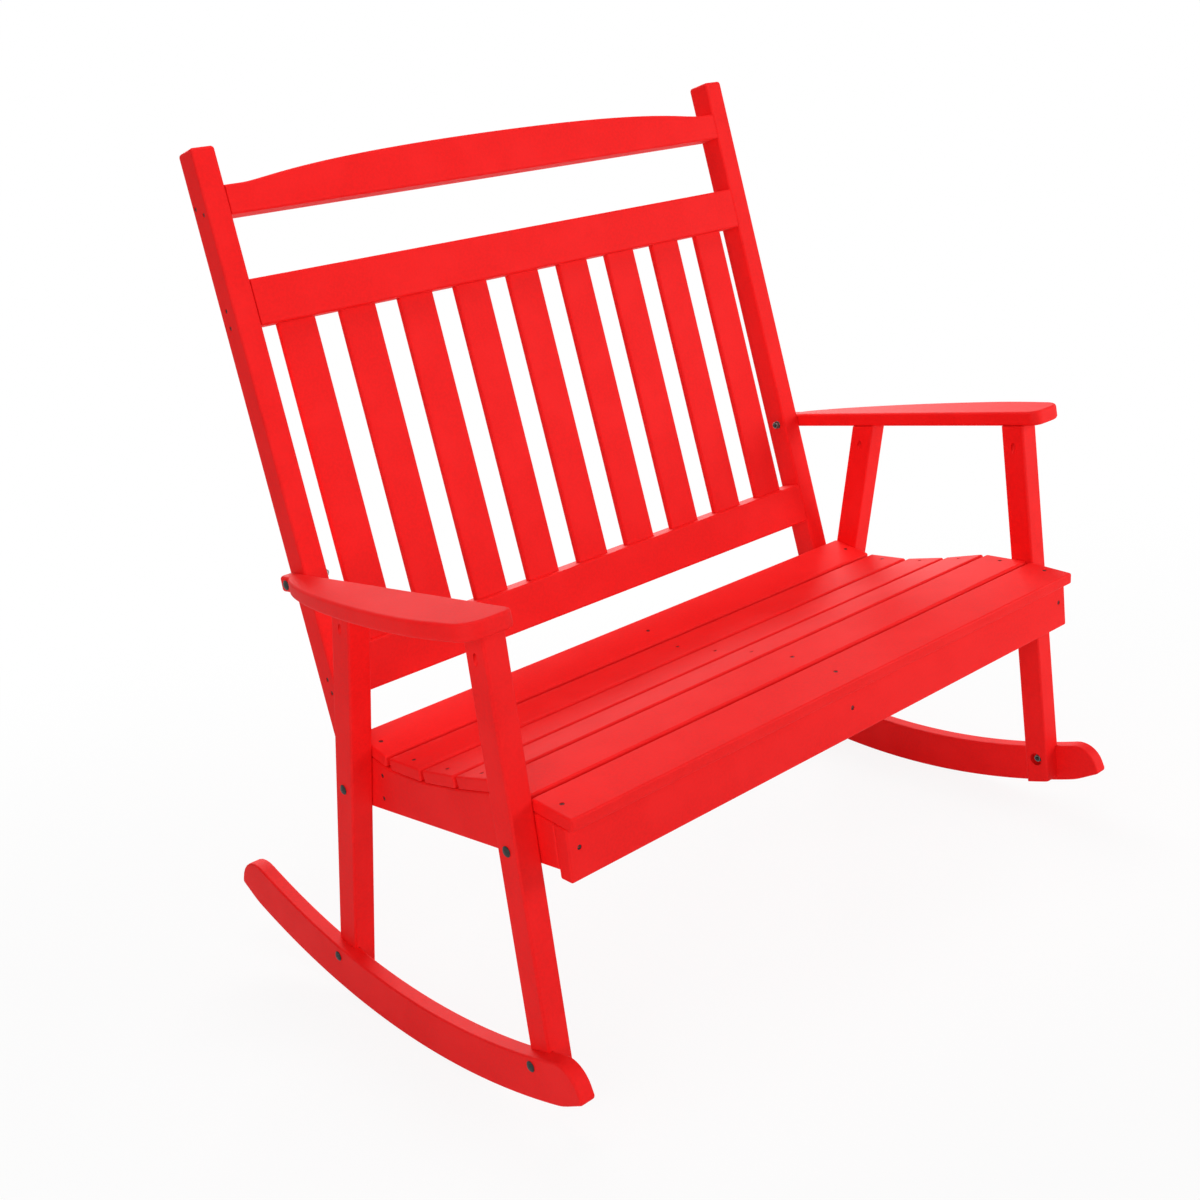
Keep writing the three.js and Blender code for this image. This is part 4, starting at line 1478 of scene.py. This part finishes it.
@dataclass(frozen=True)
class Fastenings:
    """The carriage bolts and their flanged nuts."""

    back: BackFrame
    sides: Sides
    shank: float = 0.0063
    tip_chamfer: float = 0.0006
    tip_share: float = 0.78
    head: float = 0.0146
    head_height: float = 0.0034
    rim_ease: float = 0.0003
    rim_foot_share: float = 0.96
    rim_share: float = 0.2
    dome_share: float = 0.62
    dome_flats: int = 14
    crown_flat: float = 0.0002
    past_nut: float = 0.002
    thread_length: float = 0.0095
    thread_pitch: float = 0.00127
    thread_depth: float = 0.0006
    thread_fade: float = 0.002
    thread_rings: int = 8
    flange: float = 0.0138
    flange_thickness: float = 0.0014
    flange_ease: float = 0.0003
    flange_rim_share: float = 0.6
    cone_share: float = 0.6
    cone_foot_share: float = 1.06
    nut_across: float = 0.011
    nut_height: float = 0.0054
    nut_chamfer: float = 0.0008
    nut_top_share: float = 0.475
    nut_bore: float = 0.0065
    nut_mouth: float = 0.0006
    turns: int = 48

    @property
    def places(self) -> dict[str, tuple[float, float, Array]]:
        """The x of each bolt's head, the x of its nut and its place in the side view."""
        sides = self.sides
        tail = sides.inner + sides.arm_tail_width + JOINT_GAP
        leg = sides.outer + JOINT_GAP
        rocker = sides.rocker_outer + JOINT_GAP
        rail = self.back.post_inner - JOINT_GAP
        pocket = sides.inner + sides.counterbore_depth - JOINT_GAP
        rear, front = sides.rocker_bolts
        return {
            "arm": (tail, rail, sides.arm_bolt),
            "rear_seat": (leg, rail, sides.rear_leg.middle.origin),
            "front_seat": (leg, rail, sides.front_leg.middle.origin),
            "rear_rocker": (rocker, pocket, rear),
            "front_rocker": (rocker, pocket, front),
        }

    def bolt(self, length: float) -> Shell:
        """A bolt along the third axis, its head up from nought and its shank down.

        The thread's radius is the shank's less depth |2 frac(z / pitch + a / 2 pi) - 1|, a ridge that
        climbs one pitch a turn; the sign is the one that the bench's axes turn into a right-hand thread.

        Args:
            length: from under the head to the shank's end.

        Returns:
            The shell.
        """
        radius, edge = self.shank / 2, self.head / 2
        angles = np.linspace(0, 2 * pi, self.turns, endpoint=False)
        thread_top = -length + self.thread_length
        runs = np.arange(-length + self.tip_chamfer, thread_top, self.thread_pitch / self.thread_rings)
        phase = runs[:, None] / self.thread_pitch + angles / (2 * pi)
        fade = np.clip((thread_top - runs) / self.thread_fade, 0, 1)[:, None]
        thread = radius - self.thread_depth * fade * np.abs(2 * (phase % 1) - 1)
        dome = (
            (edge, self.head_height * self.rim_share),
            (edge * self.dome_share, self.head_height),
            (self.crown_flat, self.head_height),
        )
        head = np.array([
            (0.0, radius),
            (0.0, edge * self.rim_foot_share),
            (self.rim_ease, edge),
            *bezier(dome, self.dome_flats)[:, ::-1],
        ])
        tip = np.full((1, self.turns), radius * self.tip_share)
        places = np.concatenate([[-length], runs, head[:, 0]])
        radii = np.vstack([tip, thread, np.repeat(head[:, 1:], self.turns, axis=1)])
        return turned(places, radii, self.turns)

    def nut(self) -> Shell:
        """A nut up from its bearing face: a coned flange, six flats with chamfered corners, and a bore.

        At angle a the flats lie at half the width over cos(a mod 60 - 30), in degrees.
        """
        angles = np.linspace(0, 2 * pi, self.turns, endpoint=False)
        flats = self.nut_across / 2 / np.cos(angles % (pi / 3) - pi / 6)
        top = self.flange_thickness + self.nut_height
        edge, bore = self.flange / 2, self.nut_bore / 2
        rings = (
            (0.0, bore),
            (0.0, edge - self.flange_ease),
            (self.flange_ease, edge),
            (self.flange_thickness * self.flange_rim_share, edge),
            (self.flange_thickness, self.nut_across * self.cone_share),
            (self.flange_thickness * self.cone_foot_share, flats),
            (top - self.nut_chamfer, flats),
            (top, np.minimum(flats, self.nut_across * self.nut_top_share)),
            (top, bore + self.nut_mouth),
            (top - self.nut_mouth, bore),
        )
        places = np.array([place for place, _ in rings])
        radii = np.vstack([np.broadcast_to(radius, self.turns) for _, radius in rings])
        return turned(places, radii, self.turns, looped=True)

    def build(self, shop: Workshop) -> None:
        """Makes the bolts and the nuts.

        Args:
            shop: where they are made.
        """
        nut = self.nut()
        for word, (head_x, nut_x, place) in self.places.items():
            bolt = self.bolt(head_x - nut_x + self.flange_thickness + self.nut_height + self.past_nut)
            for side in Side:
                for kind, slot, shell, x, facing in (
                    ("bolt", Slot.BOLTS, bolt, head_x, side.value),
                    ("nut", Slot.NUTS, nut, nut_x, -side.value),
                ):
                    node = f"{word}_{kind}_{side.word}"
                    shape = shell.carried(axes_along((facing, 0, 0)), np.array([side.value * x, *place]))
                    shop.add(f"{node}_turned", shape, slot, node=node)


# Finishes


@dataclass(frozen=True)
class Marks:
    """A pattern of soft marks: how many to a metre, its finer layers and how strong they are."""

    scale: float
    detail: float = 2.0
    rough: float = 0.5


@dataclass(frozen=True)
class Value:
    """A number or colour in a material's nodes; sums written on it become Math nodes."""

    nodes: "Nodes"
    socket: bpy.types.NodeSocket

    def math(self, operation: str, *others: "Value | float") -> "Value":
        """A Math node on this value and others."""
        return self.nodes.add("ShaderNodeMath", dict(enumerate((self, *others))), operation=operation)

    def __add__(self, other: "Value | float") -> "Value":
        """This plus other."""
        return self.math("ADD", other)

    def __mul__(self, other: "Value | float") -> "Value":
        """This times other."""
        return self.math("MULTIPLY", other)

    def __sub__(self, other: "Value | float") -> "Value":
        """This less other."""
        return self.math("SUBTRACT", other)

    def __rsub__(self, other: float) -> "Value":
        """A number less this."""
        return self * -1 + other

    __radd__ = __add__
    __rmul__ = __mul__

    def swing(self, amount: float) -> "Value":
        """How far this is from one half, times an amount."""
        return (self - 0.5) * amount

    def over(self, low: float, high: float) -> "Value":
        """How far this has come from low to high, smoothly, held between nought and one."""
        sockets = {"Value": self, "From Min": low, "From Max": high}
        return self.nodes.add("ShaderNodeMapRange", sockets, interpolation_type="SMOOTHSTEP")


class Nodes:
    """The nodes of one material or world."""

    def __init__(self, owner: bpy.types.Material | bpy.types.World) -> None:
        """Clears the owner's nodes.

        Args:
            owner: the material or the world.
        """
        owner.use_nodes = True
        self.tree = owner.node_tree
        self.tree.nodes.clear()

    def add(
        self, kind: str, sockets: dict | None = None, output: str | int = 0, **settings: object
    ) -> Value:
        """Adds a node.

        Args:
            kind: the node's type.
            sockets: a number, a colour or a Value for each socket, by name or number.
            output: the output that is wanted.
            **settings: the node's own settings, which are set first.

        Returns:
            The output.
        """
        node = self.tree.nodes.new(kind)
        for name, setting in settings.items():
            setattr(node, name, setting)
        for name, value in (sockets or {}).items():
            if isinstance(value, Value):
                self.tree.links.new(value.socket, node.inputs[name])
            else:
                node.inputs[name].default_value = value
        return Value(self, node.outputs[output])

    def add_output(self, surface: Value, kind: str = "ShaderNodeOutputMaterial") -> None:
        """Links a shader to the output."""
        self.tree.links.new(surface.socket, self.tree.nodes.new(kind).inputs["Surface"])

    def noise(self, where: Value, marks: Marks) -> Value:
        """A pattern of marks, from nought to one."""
        sockets = {"Vector": where, "Scale": marks.scale, "Detail": marks.detail, "Roughness": marks.rough}
        return self.add("ShaderNodeTexNoise", sockets)

    def stretched(self, where: Value, by: Sequence[float]) -> Value:
        """A place multiplied along each direction."""
        return self.add("ShaderNodeVectorMath", {0: where, 1: tuple(by)}, operation="MULTIPLY")

    def blend(self, share: Value | float, one: object, two: object) -> Value:
        """One colour turning into another."""
        return self.add("ShaderNodeMix", {0: share, 6: one, 7: two}, 2, data_type="RGBA")

    def relief(self, height: Value, strength: float, depth: float) -> Value:
        """The surface's direction over a height from nought to one, which stands for a depth."""
        return self.add("ShaderNodeBump", {"Strength": strength, "Distance": depth, "Height": height})


Linear = tuple[float, float, float, float]
WHITE: Linear = (1, 1, 1, 1)


class Finish:
    """A finish whose marks follow the lie of each piece."""

    title: str

    def sockets(self, nodes: Nodes, lie: Value) -> dict[str, object]:
        """What each socket of the shader gets; every finish has its own."""
        raise NotImplementedError

    def material(self) -> bpy.types.Material:
        """The finish as a material."""
        made = bpy.data.materials.new(self.title)
        nodes = Nodes(made)
        lie = nodes.add("ShaderNodeAttribute", output="Vector", attribute_name=LIE)
        nodes.add_output(nodes.add("ShaderNodeBsdfPrincipled", self.sockets(nodes, lie)))
        return made


@dataclass(frozen=True)
class PolyLumber(Finish):
    """Solid-coloured poly lumber: satin, with a faint mottle, soft clouds and fine drawn lines."""

    title: str = "poly_lumber"
    colour: Linear = (0.88, 0.0045, 0.0045, 1.0)
    pale: Linear = (0.92, 0.009, 0.009, 1.0)
    deep: Linear = (0.82, 0.0035, 0.0035, 1.0)
    roughness: float = 0.67
    specular: float = 0.22
    index: float = 1.5
    mottle: Marks = Marks(240, 3.0, 0.6)
    mottle_range: Flat = (0.35, 0.65)
    mottle_gloss: float = 0.16
    mottle_relief: float = 0.5
    cloud: Marks = Marks(14)
    cloud_range: Flat = (0.35, 0.7)
    cloud_share: float = 0.5
    drawn: Marks = Marks(1500)
    drawn_stretch: Bench = (1, 1, 0.03)
    drawn_gloss: float = 0.08
    drawn_relief: float = 0.3
    grain: Marks = Marks(2600)
    grain_relief: float = 0.2
    relief_strength: float = 0.16
    relief_depth: float = 0.0006

    def sockets(self, nodes: Nodes, lie: Value) -> dict[str, object]:
        """The mottle turns the deep colour into the full one, and the clouds turn that paler.

        Args:
            nodes: the material's nodes.
            lie: the place on the piece, the way the board was drawn last.

        Returns:
            What each socket of the shader gets.
        """
        mottle, cloud, grain = (nodes.noise(lie, one) for one in (self.mottle, self.cloud, self.grain))
        drawn = nodes.noise(nodes.stretched(lie, self.drawn_stretch), self.drawn)
        full = nodes.blend(mottle.over(*self.mottle_range), self.deep, self.colour)
        height = mottle * self.mottle_relief + drawn * self.drawn_relief + grain * self.grain_relief
        return {
            "Base Color": nodes.blend(cloud.over(*self.cloud_range) * self.cloud_share, full, self.pale),
            "Roughness": self.roughness + mottle.swing(self.mottle_gloss) + drawn.swing(self.drawn_gloss),
            "Normal": nodes.relief(height, self.relief_strength, self.relief_depth),
            "Specular IOR Level": self.specular,
            "IOR": self.index,
        }


@dataclass(frozen=True)
class BoltSteel(Finish):
    """Bolts in a dark weather coating, a little worn."""

    title: str = "coated_bolt"
    coat: Linear = (0.020, 0.025, 0.024, 1.0)
    coat_metal: float = 0.2
    worn: Linear = (0.065, 0.075, 0.072, 1.0)
    worn_metal: float = 0.4
    worn_gloss: float = 0.12
    roughness: float = 0.5
    specular: float = 0.25
    patches: Marks = Marks(420, 4.0, 0.6)
    patch_range: Flat = (0.52, 0.72)
    patch_relief: float = 0.5
    grain: Marks = Marks(3000)
    grain_gloss: float = 0.1
    relief_strength: float = 0.25
    relief_depth: float = 0.0004

    def sockets(self, nodes: Nodes, lie: Value) -> dict[str, object]:
        """Where the coat is worn, the bolt is paler, smoother and more like bare metal.

        Args:
            nodes: the material's nodes.
            lie: the place on the piece.

        Returns:
            What each socket of the shader gets.
        """
        patches, grain = nodes.noise(lie, self.patches), nodes.noise(lie, self.grain)
        worn = patches.over(*self.patch_range)
        height = grain + patches * self.patch_relief
        return {
            "Base Color": nodes.blend(worn, self.coat, self.worn),
            "Metallic": worn * self.worn_metal + self.coat_metal,
            "Roughness": self.roughness - worn * self.worn_gloss + grain.swing(self.grain_gloss),
            "Specular IOR Level": self.specular,
            "Normal": nodes.relief(height, self.relief_strength, self.relief_depth),
        }


@dataclass(frozen=True)
class PlainSteel(Finish):
    """Plain stainless steel, finely turned."""

    title: str = "plain_steel"
    bright: Linear = (0.20, 0.20, 0.19, 1.0)
    dull: Linear = (0.08, 0.08, 0.077, 1.0)
    roughness: float = 0.36
    patches: Marks = Marks(500, 3.0)
    patch_range: Flat = (0.4, 0.65)
    patch_gloss: float = 0.2
    grain: Marks = Marks(3500)
    relief_strength: float = 0.15
    relief_depth: float = 0.0003

    def sockets(self, nodes: Nodes, lie: Value) -> dict[str, object]:
        """Bare metal, bright with dull patches.

        Args:
            nodes: the material's nodes.
            lie: the place on the piece.

        Returns:
            What each socket of the shader gets.
        """
        patches, grain = nodes.noise(lie, self.patches), nodes.noise(lie, self.grain)
        return {
            "Base Color": nodes.blend(patches.over(*self.patch_range), self.bright, self.dull),
            "Metallic": 1.0,
            "Roughness": self.roughness + patches.swing(self.patch_gloss),
            "Normal": nodes.relief(grain, self.relief_strength, self.relief_depth),
        }


# The studio


@dataclass(frozen=True)
class Softbox:
    """A lamp with an even rectangular face that looks at a point."""

    name: str
    place: Bench
    target: Bench
    size: Flat
    glow: float

    def build(self) -> None:
        """Hangs the lamp; its power is pi times its glow times its area."""
        lamp = bpy.data.lights.new(self.name, "AREA")
        lamp.shape = "RECTANGLE"
        lamp.size, lamp.size_y = self.size
        lamp.energy = pi * self.glow * self.size[0] * self.size[1]
        held = bpy.data.objects.new(self.name, lamp)
        held.location = self.place
        held.rotation_euler = (Vector(self.target) - Vector(self.place)).to_track_quat("-Z", "Y").to_euler()
        bpy.context.scene.collection.objects.link(held)


@dataclass(frozen=True)
class Studio:
    """A pale floor, an even pale surround and soft lamps on every side."""

    lamps: tuple[Softbox, ...] = (
        Softbox("overhead", (-0.2, -0.2, 3.4), (0.0, 0.0, 0.5), (2.0, 2.0), 3.1),
        Softbox("behind", (1.8, 2.9, 1.85), (0.0, 0.0, 0.45), (3.2, 0.85), 12.5),
        Softbox("front right", (1.9, -2.4, 1.1), (0.0, 0.0, 0.7), (1.8, 1.1), 6.4),
        Softbox("front left", (-3.0, -2.1, 1.5), (0.0, 0.0, 0.5), (2.0, 2.0), 4.7),
        Softbox("right", (3.6, -0.6, 1.8), (0.0, 0.0, 0.5), (2.0, 2.0), 0.6),
    )
    surround: float = 0.15
    floor_half: float = 14.0
    floor_tone: Linear = (0.8, 0.8, 0.8, 1.0)
    shadow_reach: Flat = (0.9, 2.4)
    shadow_share: float = 0.1

    def seen_directly(self, nodes: Nodes) -> Value:
        """One for rays from the camera and for those mirrored or passed by glass, else nought."""
        seen = [
            nodes.add("ShaderNodeLightPath", output=name)
            for name in ("Is Camera Ray", "Is Glossy Ray", "Is Transmission Ray")
        ]
        return (seen[0] + seen[1] + seen[2]).math("MINIMUM", 1.0)

    def build(self) -> None:
        """Sets up the surround, the floor and the lamps."""
        scene = bpy.context.scene
        scene.view_settings.view_transform = "Standard"
        world = bpy.data.worlds.new("surround")
        scene.world = world
        nodes = Nodes(world)
        strength = self.seen_directly(nodes) * (1 - self.surround) + self.surround
        surround = nodes.add("ShaderNodeBackground", {"Color": WHITE, "Strength": strength})
        nodes.add_output(surround, "ShaderNodeOutputWorld")
        half = self.floor_half
        corners = [(-half, -half, 0), (half, -half, 0), (half, half, 0), (-half, half, 0)]
        mesh = bpy.data.meshes.new("floor")
        mesh.from_pydata(corners, [], [(0, 1, 2, 3)])
        floor = bpy.data.objects.new("floor", mesh)
        scene.collection.objects.link(floor)
        mesh.materials.append(self.floor_finish())
        floor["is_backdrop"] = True
        for lamp in self.lamps:
            lamp.build()

    def floor_finish(self) -> bpy.types.Material:
        """Pale near the bench, where it takes the shadow, and plain white further off."""
        made = bpy.data.materials.new("pale_floor")
        nodes = Nodes(made)
        place = nodes.add("ShaderNodeTexCoord", output="Object")
        reach = nodes.add("ShaderNodeVectorMath", {0: place}, "Value", operation="LENGTH")
        far = reach.over(*self.shadow_reach)
        matt = nodes.add("ShaderNodeBsdfDiffuse", {"Color": self.floor_tone})
        white = nodes.add("ShaderNodeEmission", {"Color": WHITE, "Strength": 1.0})
        share = self.seen_directly(nodes) * (far * self.shadow_share + (1 - self.shadow_share))
        nodes.add_output(nodes.add("ShaderNodeMixShader", {0: share, 1: matt, 2: white}))
        return made


@dataclass(frozen=True)
class Viewpoint:
    """The camera, as it was found from the photograph's edges, in the bench's own axes."""

    place: Bench = (-1.45582, 1.94292, 0.42133)
    right: Bench = (0.76224432, 0.60152778, -0.2390563)
    down: Bench = (-0.25223291, -0.06409622, -0.96554143)
    lens: float = 45.558
    shift: Flat = (0.01345, -0.08661)

    def build(self, stance: Stance) -> None:
        """Sets up the camera.

        Args:
            stance: how the bench stands in the world.
        """
        camera = bpy.data.cameras.new("camera")
        camera.lens = self.lens
        camera.shift_x, camera.shift_y = self.shift
        held = bpy.data.objects.new("camera", camera)
        right, up = Vector(self.right @ stance.axes), -Vector(self.down @ stance.axes)
        turn = Matrix((right, up, right.cross(up))).transposed()
        place = Vector(self.place @ stance.axes + stance.origin)
        held.matrix_world = Matrix.Translation(place) @ turn.to_4x4()
        bpy.context.scene.collection.objects.link(held)
        bpy.context.scene.camera = held


def main() -> None:
    """Builds the bench in order, then the studio and the camera."""
    logging.basicConfig(level=logging.INFO, format="%(message)s")
    back = BackFrame()
    seat = Seat(back)
    sides = Sides(back, seat)
    looks = {
        Slot.BOARDS: PolyLumber().material(),
        Slot.BOLTS: BoltSteel().material(),
        Slot.NUTS: PlainSteel().material(),
    }
    shop = Workshop(Stance.from_slat("back_slat_1", *back.slat_middle), looks)
    back.build(shop, sides.arm_bolt, sides.bore)
    seat.build(shop, (sides.rear_leg.middle.origin, sides.front_leg.middle.origin), sides.bore)
    sides.build(shop)
    Fastenings(back, sides).build(shop)
    Studio().build()
    Viewpoint().build(shop.stance)
    boxes = {
        name: [[round(float(value), 6) for value in corner] for corner in box]
        for name, box in (("cad", cad_box), ("visual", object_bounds()))
    }
    log.info("%d pieces, box %s", shop.made, boxes["visual"])


if __name__ == "__main__":
    main()
